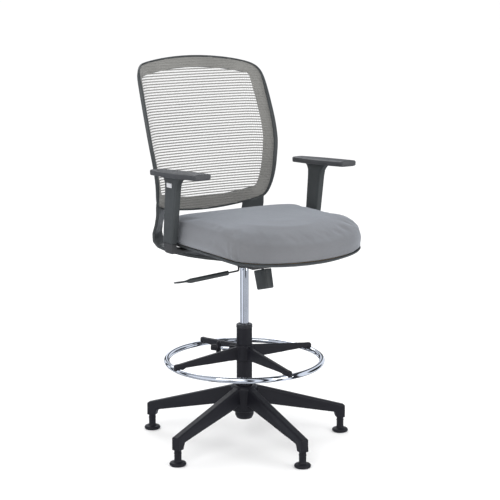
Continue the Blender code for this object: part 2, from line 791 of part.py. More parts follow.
def make_housing(axis, alloy):
    half = HOUSING_HALF_WIDTH
    wall = HOUSING_WALL
    low = (-half, HOUSING_FRONT_Y, HOUSING_BOTTOM_Z)
    high = (half, HOUSING_REAR_Y, HOUSING_TOP_Z)
    housing = make_piece("mechanism_housing", block(low, high, 0.002), alloy, axis)
    ear_y = SEAT_PIVOT[0] - EAR_LENGTH / 2
    ear_low = (-half, ear_y, HOUSING_BOTTOM_Z + 0.006)
    ear_high = (half, ear_y + EAR_LENGTH, SEAT_PIVOT[1] + 0.008)
    add_boolean(housing, block(ear_low, ear_high, 0.0015), axis, "UNION")
    inner_low = (-half + wall, HOUSING_FRONT_Y + wall, HOUSING_BOTTOM_Z + wall)
    inner_high = (half - wall, HOUSING_REAR_Y - wall, HOUSING_TOP_Z + 0.05)
    add_boolean(housing, block(inner_low, inner_high), axis, "DIFFERENCE")
    socket = rod(SOCKET_R, (0, 0, SOCKET_BOTTOM_Z), (0, 0, SOCKET_TOP_Z), 32)
    add_boolean(housing, socket, axis, "UNION")
    low_z, high_z = SOCKET_BOTTOM_Z - 0.01, SOCKET_TOP_Z + 0.002
    taper = [
        (0.0, low_z),
        (cylinder_radius(low_z) + SEAT_GAP, low_z),
        (cylinder_radius(high_z) + SEAT_GAP, high_z),
        (0.0, high_z),
    ]
    add_boolean(housing, turned(taper), axis, "DIFFERENCE")
    saddle_x, saddle_z = LEVER_PIVOT
    saddle_low = (saddle_x - 0.009, LEVER_Y + 0.006, HOUSING_BOTTOM_Z + 0.002)
    saddle_high = (saddle_x + 0.004, LEVER_Y + 0.012, saddle_z - LEVER_R - SEAT_GAP)
    add_boolean(housing, block(saddle_low, saddle_high), axis, "UNION")
    slot_low = (saddle_x - 0.0055, LEVER_Y - 0.0045, HOUSING_BOTTOM_Z - 0.01)
    slot_high = (saddle_x + 0.0045, LEVER_Y + 0.0045, HOUSING_BOTTOM_Z + 0.01)
    add_boolean(housing, block(slot_low, slot_high), axis, "DIFFERENCE")
    bolt_hole = tension_bar(TENSION_BOLT_R + SEAT_GAP, -0.010, 0.012)
    add_boolean(housing, bolt_hole, axis, "DIFFERENCE")
    reach = half + 0.01
    pivot_hole = side_pin(BACK_PIVOT, -reach, reach, PIVOT_R + SEAT_GAP)
    keep_clear = half - wall - 0.004
    for side in (-1, 1):
        start, end = side * keep_clear, side * reach
        hole = side_pin(BACK_PIVOT, start, end, PIVOT_R + SEAT_GAP)
        add_boolean(housing, hole, axis, "DIFFERENCE")
    pivot_hole.free()
    seat_hole = side_pin(SEAT_PIVOT, -reach, reach, SEAT_PIN_R + SEAT_GAP)
    add_boolean(housing, seat_hole, axis, "DIFFERENCE")


def tension_axis():
    """Where the tension bolt crosses the housing's floor, and its direction upwards."""
    lean = math.radians(TENSION_LEAN)
    up = Vector((0.0, math.sin(lean), math.cos(lean)))
    return Vector((0.0, *TENSION_TOP)), up


def tension_bar(radius, low, high, segments=20):
    """A round bar on the tension bolt's axis between two distances from the housing's floor."""
    place, up = tension_axis()
    return rod(radius, place + up * low, place + up * high, segments)


def make_pivots(axis, steel):
    half = HOUSING_HALF_WIDTH
    for side, name in SIDES:
        head_x = half - HOUSING_WALL - SEAT_GAP
        profile = [
            (0.0, 0.0),
            (PIVOT_HEAD_R, 0.0),
            (PIVOT_HEAD_R, 0.003),
            (PIVOT_R, 0.003),
            (PIVOT_R, 0.003 + HOUSING_WALL + 0.009),
            (0.0, 0.003 + HOUSING_WALL + 0.009),
        ]
        place = (side * (head_x - 0.003), *BACK_PIVOT)
        pin = placed(turned(profile, 20), place, (side, 0, 0))
        make_piece(f"back_pivot_pin_{name}", pin, steel, axis)
    reach = half + SEAT_GAP + BRACKET_EAR + 0.003
    pin = side_pin(SEAT_PIVOT, -reach, reach, SEAT_PIN_R)
    make_piece("seat_pivot_pin", pin, steel, axis)


def spring_foot():
    """The distance along the tension bolt at which the spring's wire starts, clear of the floor."""
    lean = math.radians(TENSION_LEAN)
    stand = HOUSING_WALL + SPRING_WIRE_R + SEAT_GAP + math.sin(lean) * SPRING_R
    return stand / math.cos(lean) - SPRING_RISE / (4 * SPRING_TURNS)


def spring_line():
    """The middle line of the compression spring about the tension bolt."""
    place, up = tension_axis()
    across = Vector((1, 0, 0))
    ahead = up.cross(across)
    points = []
    steps = SPRING_TURNS * 12
    for i in range(steps + 1):
        angle = FULL_TURN * SPRING_TURNS * i / steps
        height = spring_foot() + SPRING_RISE * i / steps
        ring = across * math.cos(angle) + ahead * math.sin(angle)
        points.append(place + up * height + ring * SPRING_R)
    return points


def make_tension(axis, knob_axis, steel, nylon):
    lean = math.radians(TENSION_LEAN)
    top = spring_foot() + SPRING_RISE + SPRING_WIRE_R
    bolt = tension_bar(TENSION_BOLT_R, -0.030, top + SPRING_PLATE_H + 0.001)
    make_piece("tension_bolt", bolt, steel, axis)
    make_piece("tension_spring", swept(spring_line(), SPRING_WIRE_R, 6), steel, axis)
    place, up = tension_axis()
    plate = [
        (TENSION_BOLT_R + SEAT_GAP, 0.0),
        (SPRING_R + SPRING_WIRE_R, 0.0),
        (SPRING_R + SPRING_WIRE_R, SPRING_PLATE_H),
        (TENSION_BOLT_R + SEAT_GAP, SPRING_PLATE_H),
    ]
    shape = placed(turned(plate, 24), place + up * (top + SEAT_GAP), up)
    make_piece("spring_plate", shape, steel, axis)
    knob_r = TENSION_KNOB_R
    length = TENSION_KNOB_LENGTH
    start = knob_r * math.tan(lean) + SEAT_GAP
    profile = [
        (TENSION_BOLT_R + SEAT_GAP, start),
        (knob_r - 0.001, start),
        (knob_r, start + 0.002),
        (knob_r - 0.0015, length - 0.003),
        (knob_r - 0.004, length),
        (0.0, length),
        (0.0, 0.0315),
        (TENSION_BOLT_R + SEAT_GAP, 0.0315),
    ]
    knob = placed(turned_pocket(profile), place, -up)
    make_piece("tension_knob", knob, nylon, knob_axis)


def turned_pocket(profile, segments=28):
    """A profile with two neighbouring points on the axis: the body outside and its blind pocket."""
    split = next(i for i, (radius, _) in enumerate(profile) if radius == 0.0)
    order = profile[split + 1:] + profile[:split + 1]
    shape = bmesh.new()
    line = [shape.verts.new((radius, 0.0, height)) for radius, height in order]
    edges = [shape.edges.new(pair) for pair in zip(line, line[1:])]
    bmesh.ops.spin(
        shape,
        geom=line + edges,
        cent=(0, 0, 0),
        axis=(0, 0, 1),
        angle=FULL_TURN,
        steps=segments,
        use_merge=True,
    )
    bmesh.ops.remove_doubles(shape, verts=shape.verts, dist=1e-6)
    return shape


def lever_line_z(x):
    """The height of the lever's handle, which falls away from its bend and levels out at its tip."""
    slope = (LEVER_BEND_Z - LEVER_FAR_Z) / (LEVER_PIVOT[0] - GRIP_END_X)
    return LEVER_FAR_Z + slope * max(x - GRIP_END_X, 0.0)


def make_lever(axis, steel, nylon):
    pivot_x, pivot_z = LEVER_PIVOT
    over_pin = CYLINDER_TOP_Z + PIN_STANDS + SEAT_GAP + LEVER_R
    corners = [
        (LEVER_END_X, LEVER_Y, lever_line_z(LEVER_END_X)),
        (pivot_x, LEVER_Y, LEVER_BEND_Z),
        (pivot_x, LEVER_Y, pivot_z),
        (pivot_x, LEVER_Y + 0.017, pivot_z),
        (-0.010, -0.004, over_pin),
        (0.003, 0.0, over_pin),
    ]
    make_piece("height_lever", swept(bent_line(corners, 0.0042), LEVER_R), steel, axis)
    handle = [
        (GRIP_START_X, GRIP_R - 0.001, GRIP_R - 0.001),
        (GRIP_START_X - 0.001, GRIP_R, GRIP_R),
        (GRIP_END_X + 0.002, GRIP_R, GRIP_R),
        (GRIP_END_X - 0.002, GRIP_R - 0.001, GRIP_R - 0.001),
        (GRIP_END_X - 0.012, 0.0070, 0.0035),
        (GRIP_END_X - 0.022, 0.0090, 0.0022),
        (GRIP_TIP_X + 0.014, 0.0110, 0.0020),
        (GRIP_TIP_X + 0.004, 0.0080, 0.0018),
        (GRIP_TIP_X, 0.0030, 0.0014),
    ]
    sections = []
    for x, half_width, half_height in handle:
        centre = (x, LEVER_Y, lever_line_z(x))
        sections.append(oval(centre, (0, 1, 0), (0, 0, 1), half_width, half_height, 2.0, 16))
    grip = make_piece("lever_grip", lofted(sections), nylon, axis)
    start_x, end_x = GRIP_START_X + 0.01, LEVER_END_X - SEAT_GAP
    bore_start = (start_x, LEVER_Y, lever_line_z(start_x))
    bore_end = (end_x, LEVER_Y, lever_line_z(end_x))
    add_boolean(grip, rod(LEVER_R + SEAT_GAP, bore_start, bore_end, 16), axis, "DIFFERENCE")


# ---------------------------------------------------------------- seat
def seat_outline(angle, inset=0.0):
    """The seat in plan: a rounded square whose front edge bows forward."""
    c, s = math.cos(angle), math.sin(angle)
    power = SEAT_FRONT_SQUARENESS if s < 0 else SEAT_REAR_SQUARENESS
    radius = (abs(c) ** power + abs(s) ** power) ** (-1.0 / power)
    front = SEAT_FRONT_Y + FRONT_BOW
    half_length = (SEAT_REAR_Y - front) / 2.0
    middle = (SEAT_REAR_Y + front) / 2.0
    x_unit, y_unit = radius * c, radius * s
    x = x_unit * (SEAT_HALF_WIDTH - inset)
    y = middle + y_unit * (half_length - inset)
    if y_unit < 0:
        y += y_unit * FRONT_BOW * (1.0 - x_unit * x_unit)
    return x, y


def droop(y, amount):
    """How far the seat's front edge falls away."""
    start = SEAT_FRONT_Y + DROOP_LENGTH
    return amount * smooth_step((start - y) / DROOP_LENGTH)


def rear_droop(y, height):
    """How far the cushion's top falls away at the seat's rear; its base stays level."""
    start = SEAT_REAR_Y - REAR_DROOP_LENGTH
    rise = max(0.0, height - SHELL_RIM_Z) / CUSHION_THICKNESS
    return REAR_DROOP * rise * smooth_step((y - start) / REAR_DROOP_LENGTH)


def seat_ring(inset, height, fall, count=48):
    """One loop of the seat at a height, following the fall of its front edge."""
    points = []
    for i in range(count):
        evenly = FULL_TURN * i / count
        x, y = seat_outline(evenly + 0.15 * math.sin(4.0 * evenly), inset)
        points.append(Vector((x, y, height - droop(y, fall) - rear_droop(y, height))))
    return points


def ring_stack(levels):
    """A solid through rings (inset, height, fall), from its bottom to its top."""
    return lofted([seat_ring(*level) for level in levels])


def make_seat(axis, plastic, wood, fabric, steel):
    bottom = SEAT_BOTTOM_Z
    rim = SHELL_RIM_Z
    recess = bottom + SHELL_FLOOR
    fall = FRONT_DROOP
    shell = [
        (0.150, bottom, 0.0),
        (0.075, bottom, fall * 0.3),
        (0.018, bottom + 0.001, fall),
        (0.006, rim - 0.006, fall),
        (0.003, rim, fall),
        (SHELL_LIP, rim, fall),
        (SHELL_LIP + 0.004, recess, fall),
        (0.075, recess, fall * 0.3),
        (0.150, recess, 0.0),
    ]
    make_piece("seat_shell", ring_stack(shell), plastic, axis)
    board_low = recess + 2 * SEAT_GAP
    board_high = rim - 0.0005
    board_inset = SHELL_LIP + 0.005
    board = [
        (0.150, board_high, 0.0),
        (0.075, board_high, fall * 0.3),
        (board_inset - 0.003, board_high, fall),
        (board_inset, board_low, fall),
        (0.075, board_low, fall * 0.3),
        (0.150, board_low, 0.0),
    ]
    make_piece("seat_board", ring_stack(board), wood, axis)
    base_z = rim + SEAT_GAP
    top_z = rim + CUSHION_THICKNESS
    top_fall = FRONT_DROOP + FRONT_TOP_DROOP
    cushion = [
        (0.150, base_z, 0.0),
        (0.075, base_z, fall * 0.3),
        (0.012, base_z, fall),
        (0.002, base_z + 0.003, fall),
        (-CUSHION_BULGE, base_z + CUSHION_THICKNESS * 0.42, fall * 1.2),
        (0.000, top_z - 0.016, top_fall * 0.95),
        (0.009, top_z - 0.005, top_fall),
        (0.030, top_z, top_fall * 0.9),
        (0.090, top_z + CUSHION_CROWN * 0.6, top_fall * 0.4),
        (0.160, top_z + CUSHION_CROWN, 0.0),
    ]
    make_piece("seat_cushion", ring_stack(cushion), fabric, axis, 60.0)
    make_seat_bracket(axis, steel)


def make_seat_bracket(axis, steel):
    """The pressed plate that carries the seat: front ears on the pivot, rear ears on the link pins."""
    top = SEAT_BOTTOM_Z - SEAT_GAP
    bottom = top - BRACKET_PLATE
    plate = block((-0.085, -0.185, bottom), (0.085, 0.082, top), 0.001)
    bracket = make_piece("seat_bracket", plate, steel, axis)
    front_x = HOUSING_HALF_WIDTH + SEAT_GAP
    pivot_y, pivot_z = SEAT_PIVOT
    link_y, link_z = LINK_PIN
    rear_x = HOUSING_HALF_WIDTH - 0.001
    slot_half = LINK_SLOT_HALF + LINK_R
    for side in (-1, 1):
        near, far = sorted((side * front_x, side * (front_x + BRACKET_EAR)))
        low = (near, pivot_y - EAR_LENGTH / 2, pivot_z - 0.010)
        high = (far, pivot_y + EAR_LENGTH / 2, bottom + 0.001)
        add_boolean(bracket, block(low, high), axis, "UNION")
        near, far = sorted((side * rear_x, side * (rear_x - BRACKET_EAR)))
        low = (near, link_y - slot_half - 0.005, link_z - 0.012)
        high = (far, link_y + slot_half + 0.004, bottom + 0.001)
        add_boolean(bracket, block(low, high), axis, "UNION")
    reach = HOUSING_HALF_WIDTH + 0.02
    hole = side_pin(SEAT_PIVOT, -reach, reach, SEAT_PIN_R + SEAT_GAP)
    add_boolean(bracket, hole, axis, "DIFFERENCE")
    play = LINK_R + LINK_SLOT_PLAY
    slot_low = (-reach, link_y - slot_half, link_z - play)
    slot_high = (reach, link_y + slot_half, link_z + play)
    add_boolean(bracket, block(slot_low, slot_high), axis, "DIFFERENCE")
    for side, name in SIDES:
        for y, end in ((-0.165, "front"), (0.066, "rear")):
            head = screw_head((side * 0.072, y, bottom - SEAT_GAP), (0, 0, 1))
            make_piece(f"seat_screw_{end}_{name}", head, steel, axis)


def screw_head(place, direction):
    """The pan head of a screw, bearing on place; its thread is not drawn."""
    head = SCREW_HEAD_H
    profile = [(0.0, -head), (SCREW_HEAD_R * 0.6, -head), (SCREW_HEAD_R, -head * 0.4)]
    profile += [(SCREW_HEAD_R, 0.0), (0.0, 0.0)]
    return placed(turned(profile, 14), place, direction)


# ---------------------------------------------------------------- arms
def arm_y(y, z):
    """A place on the arm, moved along its forward lean as it rises from the foot."""
    return y - ARM_LEAN * (z - ARM_FOOT_Z)


def make_arm_bracket(side, name, axis, steel):
    """The foot under the seat and the upright bar that the sleeve slides on, as one piece."""
    top = SEAT_BOTTOM_Z - SEAT_GAP
    mid = top - ARM_BRACKET_THICKNESS / 2
    half_depth = ARM_DEPTH / 2 - 0.003
    half_plate = ARM_BRACKET_THICKNESS / 2
    y = ARM_CENTRE_Y
    elbow_z = mid + 0.003
    half_foot = ARM_THICKNESS / 2
    up = Vector((0, -ARM_LEAN, 1)).normalized()
    side_x = Vector((side, 0, 0))
    level = Vector((0, 0, 1))
    diagonal = (side_x * -0.7071 + level * 0.7071)
    foot_z = ARM_FOOT_Z - 2 * SEAT_GAP
    half_bar = UPRIGHT_THICKNESS / 2
    half_bar_depth = UPRIGHT_DEPTH / 2
    ahead = Vector((0, 1, 0))
    stations = [
        ((side * ARM_BRACKET_INNER_X, y, mid), level, half_plate, half_depth),
        ((side * (SEAT_HALF_WIDTH - 0.008), y, mid - 0.001), level, half_plate, half_depth),
        ((side * (ARM_X - 0.003), y, elbow_z), diagonal, half_foot * 1.2, half_depth),
        ((side * ARM_X, y, foot_z - 0.010), -side_x, half_foot, half_depth),
        ((side * ARM_X, y, foot_z), -side_x, half_foot - 0.001, half_depth),
        ((side * ARM_X, y, foot_z + 0.0001), -side_x, half_bar, half_bar_depth),
    ]
    sections = [
        oval(place, ahead, thick, deep, half, 6.0, 16)
        for place, thick, half, deep in stations
    ]
    height = UPRIGHT_TOP_Z - foot_z
    top_place = Vector((side * ARM_X, y, foot_z)) + up * (height / up.z)
    sections.append(oval(top_place, ahead, -side_x, half_bar_depth, half_bar, 6.0, 16))
    make_piece(name, lofted(sections), steel, axis)


def sleeve_edges(z):
    """The front and rear edges of the arm's sleeve at a height, flaring out under the pad."""
    y = arm_y(ARM_CENTRE_Y, z)
    half = ARM_DEPTH / 2 + 0.05 * (z - ARM_FOOT_Z) * 0.7
    flare_start = ARM_TOP_Z - 0.032
    share = max(0.0, (z - flare_start) / (ARM_TOP_Z - flare_start))
    flare = 1.0 - math.sqrt(max(0.0, 1.0 - share * share))
    return y - half - 0.040 * flare, y + half + 0.030 * flare


def make_arm(side, name, slide_axis, button_axis, plastic, soft, button_grey):
    half = ARM_THICKNESS / 2
    x = side * ARM_X
    top_z = ARM_TOP_Z
    heights = [ARM_FOOT_Z, ARM_FOOT_Z + 0.075, top_z - 0.040]
    heights += [top_z - 0.032 + 0.030 * math.sin(math.radians(a)) for a in (20, 45, 65, 90)]
    sections = []
    for z in heights:
        front, rear = sleeve_edges(z)
        centre = Vector((x, (front + rear) / 2, z - PAD_SLOPE * ((front + rear) / 2)))
        sections.append(
            oval(centre, (0, 1, 0), (1, 0, 0), (rear - front) / 2, half, 7.0, 20)
        )
    for section, z in zip(sections, heights):
        rise = smooth_step((z - ARM_FOOT_Z) / (top_z - ARM_FOOT_Z))
        for point in section:
            point.z = z - PAD_SLOPE * point.y * rise
    sleeve = make_piece(f"arm_sleeve_{name}", lofted(sections), plastic, slide_axis)
    add_boolean(sleeve, sleeve_pocket(x), slide_axis, "DIFFERENCE")
    make_button(side, name, sleeve, button_axis, slide_axis, button_grey)
    make_pad(x, name, slide_axis, soft)


def sleeve_pocket(x):
    """The channel inside the sleeve that the upright bar runs in."""
    half_x = UPRIGHT_THICKNESS / 2 + RUN_GAP
    half_y = UPRIGHT_DEPTH / 2 + RUN_GAP
    sections = []
    for z in (ARM_FOOT_Z - 0.02, UPRIGHT_TOP_Z + 0.004):
        y = arm_y(ARM_CENTRE_Y, z)
        corners = [(-half_x, -half_y), (half_x, -half_y), (half_x, half_y), (-half_x, half_y)]
        sections.append([Vector((x + a, y + b, z)) for a, b in corners])
    return lofted(sections)


def button_place(side):
    """The middle of the button's face, just under the pad and behind the arm's middle."""
    z = ARM_TOP_Z - 0.026
    return Vector((side * (ARM_X + ARM_THICKNESS / 2), arm_y(ARM_CENTRE_Y, z) + 0.006, z))


def make_button(side, name, sleeve, axis, slide_axis, grey):
    face = button_place(side)
    half_y, half_z = BUTTON_WIDTH / 2, BUTTON_HEIGHT / 2
    outer_x = face.x + side * BUTTON_PROUD
    inner_x = face.x - side * BUTTON_DEPTH
    near, far = sorted((outer_x, inner_x))
    low = (near, face.y - half_y, face.z - half_z)
    high = (far, face.y + half_y, face.z + half_z)
    make_piece(f"arm_button_{name}", block(low, high, 0.001), grey, axis)
    floor_x = inner_x - side * (BUTTON_TRAVEL + SEAT_GAP)
    near, far = sorted((outer_x + side * 0.01, floor_x))
    gap = SEAT_GAP
    low = (near, face.y - half_y - gap, face.z - half_z - gap)
    high = (far, face.y + half_y + gap, face.z + half_z + gap)
    add_boolean(sleeve, block(low, high), slide_axis, "DIFFERENCE")


def pad_half_width(share):
    """The pad's half width along its length, from 0 at the front to 1 at the rear."""
    middle = math.sin(math.pi * min(share * 1.1, 1.0)) ** 0.8
    ends = PAD_HALF_FRONT + (PAD_HALF_REAR - PAD_HALF_FRONT) * share
    return ends + (PAD_HALF_MIDDLE - PAD_HALF_FRONT) * middle


def make_pad(x, name, axis, soft):
    length = PAD_REAR_Y - PAD_FRONT_Y
    shares = [0.0, 0.012, 0.04, 0.15, 0.3, 0.45, 0.6, 0.75, 0.88, 0.95, 0.985, 1.0]
    narrow = [0.90, 0.97, 1.0, 1.0, 1.0, 1.0, 1.0, 1.0, 0.98, 0.86, 0.62, 0.30]
    thin = [0.80, 0.94, 1.0, 1.0, 1.0, 1.0, 1.0, 1.0, 1.0, 0.97, 0.85, 0.60]
    sections = []
    half = PAD_THICKNESS / 2
    for share, across, up in zip(shares, narrow, thin):
        y = PAD_FRONT_Y + length * share
        z = ARM_TOP_Z + SEAT_GAP + half - PAD_SLOPE * y - 0.002
        centre = (x, y, z)
        width = pad_half_width(share) * across
        sections.append(oval(centre, (1, 0, 0), (0, 0, 1), width, half * up, 5.0, 20))
    make_piece(f"arm_pad_{name}", lofted(sections), soft, axis, 50.0)


# ---------------------------------------------------------------- back
def frame_section(angle, grow=0.0):
    """The frame's cross section at one place of its outline, from the outer edge to the inner one."""
    outer = outline_xz(angle, 0.0)
    inner = outline_xz(angle, 1.0)
    width = math.dist(outer, inner)
    rim_width, rim_height = rim_size(angle)
    rim = rim_width / width
    side = grow / width
    profile = [
        (-side, 0.0),
        (-side, rim_height * 0.7 + grow),
        (rim * 0.35 - side, rim_height + grow),
        (rim + side, rim_height * 0.85 + grow),
        (rim + side, grow),
        (1.0 + side, grow),
        (1.0 + side, -FRAME_THICKNESS * 0.7 - grow),
        (0.75 + side, -FRAME_THICKNESS - grow),
        (FRAME_REAR_INSET / width - side, -FRAME_THICKNESS - grow),
        (-side, -0.001 - grow),
    ]
    points = []
    for share, offset in profile:
        x, z = outline_xz(angle, share)
        points.append(back_point(x, z, offset))
    return points


def frame_shape(grow=0.0):
    sections = [frame_section(angle, grow) for angle in outline_angles(64)]
    return lofted(sections, closed=True)


def make_frame(axis, plastic):
    make_piece("back_frame", frame_shape(), plastic, axis)


def make_mesh(axis, yarn):
    """The stretched mesh as a thin curved sheet that lies in the frame's rim."""
    angles = outline_angles(64)
    shape = bmesh.new()
    low, high = 2 * SEAT_GAP, MESH_THICKNESS
    insets = [None, 1.0, 2.2, 3.6, 4.8]
    layers = []
    for offset in (low, high):
        loops = []
        for inset in insets:
            loop = []
            for angle in angles:
                outer, inner = outline_xz(angle, 0.0), outline_xz(angle, 1.0)
                edge = (rim_size(angle)[0] + 3 * SEAT_GAP) / math.dist(outer, inner)
                x, z = outline_xz(angle, edge if inset is None else inset)
                loop.append(shape.verts.new(back_point(x, z, offset)))
            loops.append(loop)
        middle = (BACK_TOP_Z + BACK_BOTTOM_Z) / 2
        centre = shape.verts.new(back_point(0.0, middle, offset))
        layers.append((loops, centre))
    for loops, centre in layers:
        for first, second in zip(loops, loops[1:]):
            join_loops(shape, first, second)
        last = loops[-1]
        for i, point in enumerate(last):
            shape.faces.new((point, last[(i + 1) % len(last)], centre))
    join_loops(shape, layers[0][0][0], layers[1][0][0])
    make_piece("back_mesh", shape, yarn, axis)


def join_loops(shape, first, second):
    count = len(first)
    for i in range(count):
        j = (i + 1) % count
        shape.faces.new((first[i], first[j], second[j]))
        shape.faces.new((first[i], second[j], second[i]))


def bottom_edge_z(x):
    """The height of the frame's lower edge at a distance from its middle."""
    return BACK_BOTTOM_Z + BACK_ARCH_BOTTOM * x * x


def ribbon_section(side, outer, inner, along, thickness):
    """A flat section of a back arm between two edge points; its body lies ahead of or above them."""
    outer, inner = Vector(outer), Vector(inner)
    ahead = Vector(along).cross(inner - outer).normalized() * thickness
    middle = (outer + inner) / 2
    points = [outer + ahead, middle + ahead, inner + ahead, inner, middle, outer]
    return [Vector((point.x * side, point.y, point.z)) for point in points]


def tongue_section(side, z, width=STRUT_TONGUE_WIDTH):
    """A section of the tongue that lies behind the frame's lower band."""
    front = FRAME_THICKNESS - 0.003
    rear = FRAME_THICKNESS + STRUT_THICKNESS
    inner_x = STRUT_INNER_X
    middle_x = inner_x + width / 2
    outer_x = inner_x + width
    points = []
    for x, offset in (
        (outer_x, -front),
        (middle_x, -front),
        (inner_x, -front),
        (inner_x, -rear),
        (middle_x, -rear),
        (outer_x, -rear),
    ):
        point = back_point(x, z, offset)
        points.append(Vector((point.x * side, point.y, z)))
    return points


def arm_stations():
    """The edges of a back arm from the tilt pivot, out and back under the seat, and up to the frame."""
    strut_x, strut_y = STRUT_OUTER
    inner_x, inner_y = STRUT_INNER
    low = ARM_RUN_Z
    outer_edge = [
        (0.085, -0.064, low - 0.007),
        (0.118, -0.050, low - 0.006),
        (0.152, -0.010, low - 0.004),
        (0.180, 0.040, low - 0.002),
        (0.193, 0.095, low - 0.001),
        (0.199, 0.150, low),
        (0.203, 0.196, low + 0.005),
        (0.2045, 0.222, low + 0.020),
        (0.203, 0.227, low + 0.045),
        (strut_x - 0.004, strut_y + 0.018, 0.690),
        (strut_x - 0.001, strut_y + 0.005, 0.715),
        (strut_x, strut_y, bottom_edge_z(strut_x) - 0.004),
    ]
    inner_edge = [
        (0.085, 0.058, low - 0.007),
        (0.100, 0.044, low - 0.006),
        (0.120, 0.048, low - 0.004),
        (0.137, 0.070, low - 0.002),
        (0.147, 0.105, low - 0.001),
        (0.151, 0.155, low),
        (0.153, 0.208, low + 0.005),
        (0.155, 0.246, low + 0.020),
        (0.155, 0.262, low + 0.045),
        (inner_x, inner_y + 0.015, 0.690),
        (inner_x, inner_y + 0.004, 0.712),
        (inner_x, inner_y, bottom_edge_z(inner_x) - 0.004),
    ]
    thicknesses = [0.013, 0.012] + [STRUT_THICKNESS] * 10
    return outer_edge, inner_edge, thicknesses


def cheek_section(side, x):
    """The upright plate beside the mechanism that the tilt pivot and the link pin pass through."""
    low, high = ARM_RUN_Z - 0.025, ARM_RUN_Z + 0.017
    front, rear = -0.062, 0.076
    outline = [(front, high - 0.012), (0.0, high), (rear, high), (rear, low), (0.0, low), (front, low)]
    return [Vector((x * side, y, z)) for y, z in outline]


def make_back_arm(side, name, axis, plastic, steel):
    """The bar from the tilt pivot, out and back under the seat, and up to the frame's lower corner."""
    cheek_x = HOUSING_HALF_WIDTH + RUN_GAP + 0.0007
    sections = [cheek_section(side, cheek_x), cheek_section(side, cheek_x + 0.011)]
    outer_edge, inner_edge, thicknesses = arm_stations()
    middles = [(Vector(a) + Vector(b)) / 2 for a, b in zip(outer_edge, inner_edge)]
    for i, (outer, inner, thickness) in enumerate(zip(outer_edge, inner_edge, thicknesses)):
        before = middles[max(i - 1, 0)]
        after = middles[min(i + 1, len(middles) - 1)]
        sections.append(ribbon_section(side, outer, inner, after - before, thickness))
    foot_z = bottom_edge_z(STRUT_INNER_X) + 0.014
    tongue = [tongue_section(side, foot_z + (STRUT_TOP_Z - foot_z) * share) for share in (0, 0.5, 1)]
    sections += tongue
    arm = make_piece(f"back_arm_{name}", lofted(sections), plastic, axis)
    inner = side * (HOUSING_HALF_WIDTH - 0.01)
    hole = side_pin(BACK_PIVOT, inner, side * (cheek_x + 0.009), PIVOT_R + SEAT_GAP)
    add_boolean(arm, hole, axis, "DIFFERENCE")
    link = side_pin(LINK_PIN, inner, side * (cheek_x + 0.0082), LINK_R + 1.5 * SEAT_GAP, 16)
    add_boolean(arm, link, axis, "DIFFERENCE")
    add_boolean(arm, frame_shape(SEAT_GAP * 1.4), axis, "DIFFERENCE")
    for lower, upper, end in zip(tongue, tongue[1:], ("lower", "upper")):
        place = (lower[3] + lower[4] + upper[3] + upper[4]) / 4
        ahead = (upper[4] - lower[3]).cross(upper[3] - lower[4]).normalized()
        if ahead.y > 0:
            ahead = -ahead
        head = screw_head(place - ahead * 1.5 * SEAT_GAP, ahead)
        make_piece(f"back_screw_{end}_{name}", head, steel, axis)
    return cheek_x


def make_back_links(axis, steel, cheek_x):
    """The bar that ties the two arms, and the pins that carry the seat's rear ears."""
    reach = cheek_x - SEAT_GAP
    make_piece("yoke_crossbar", side_pin(CROSSBAR, -reach, reach, CROSSBAR_R), steel, axis)
    for side, name in SIDES:
        inner = side * (HOUSING_HALF_WIDTH - 0.009)
        outer = side * (cheek_x + 0.0078)
        pin = side_pin(LINK_PIN, inner, outer, LINK_R, 16)
        make_piece(f"link_pin_{name}", pin, steel, axis)


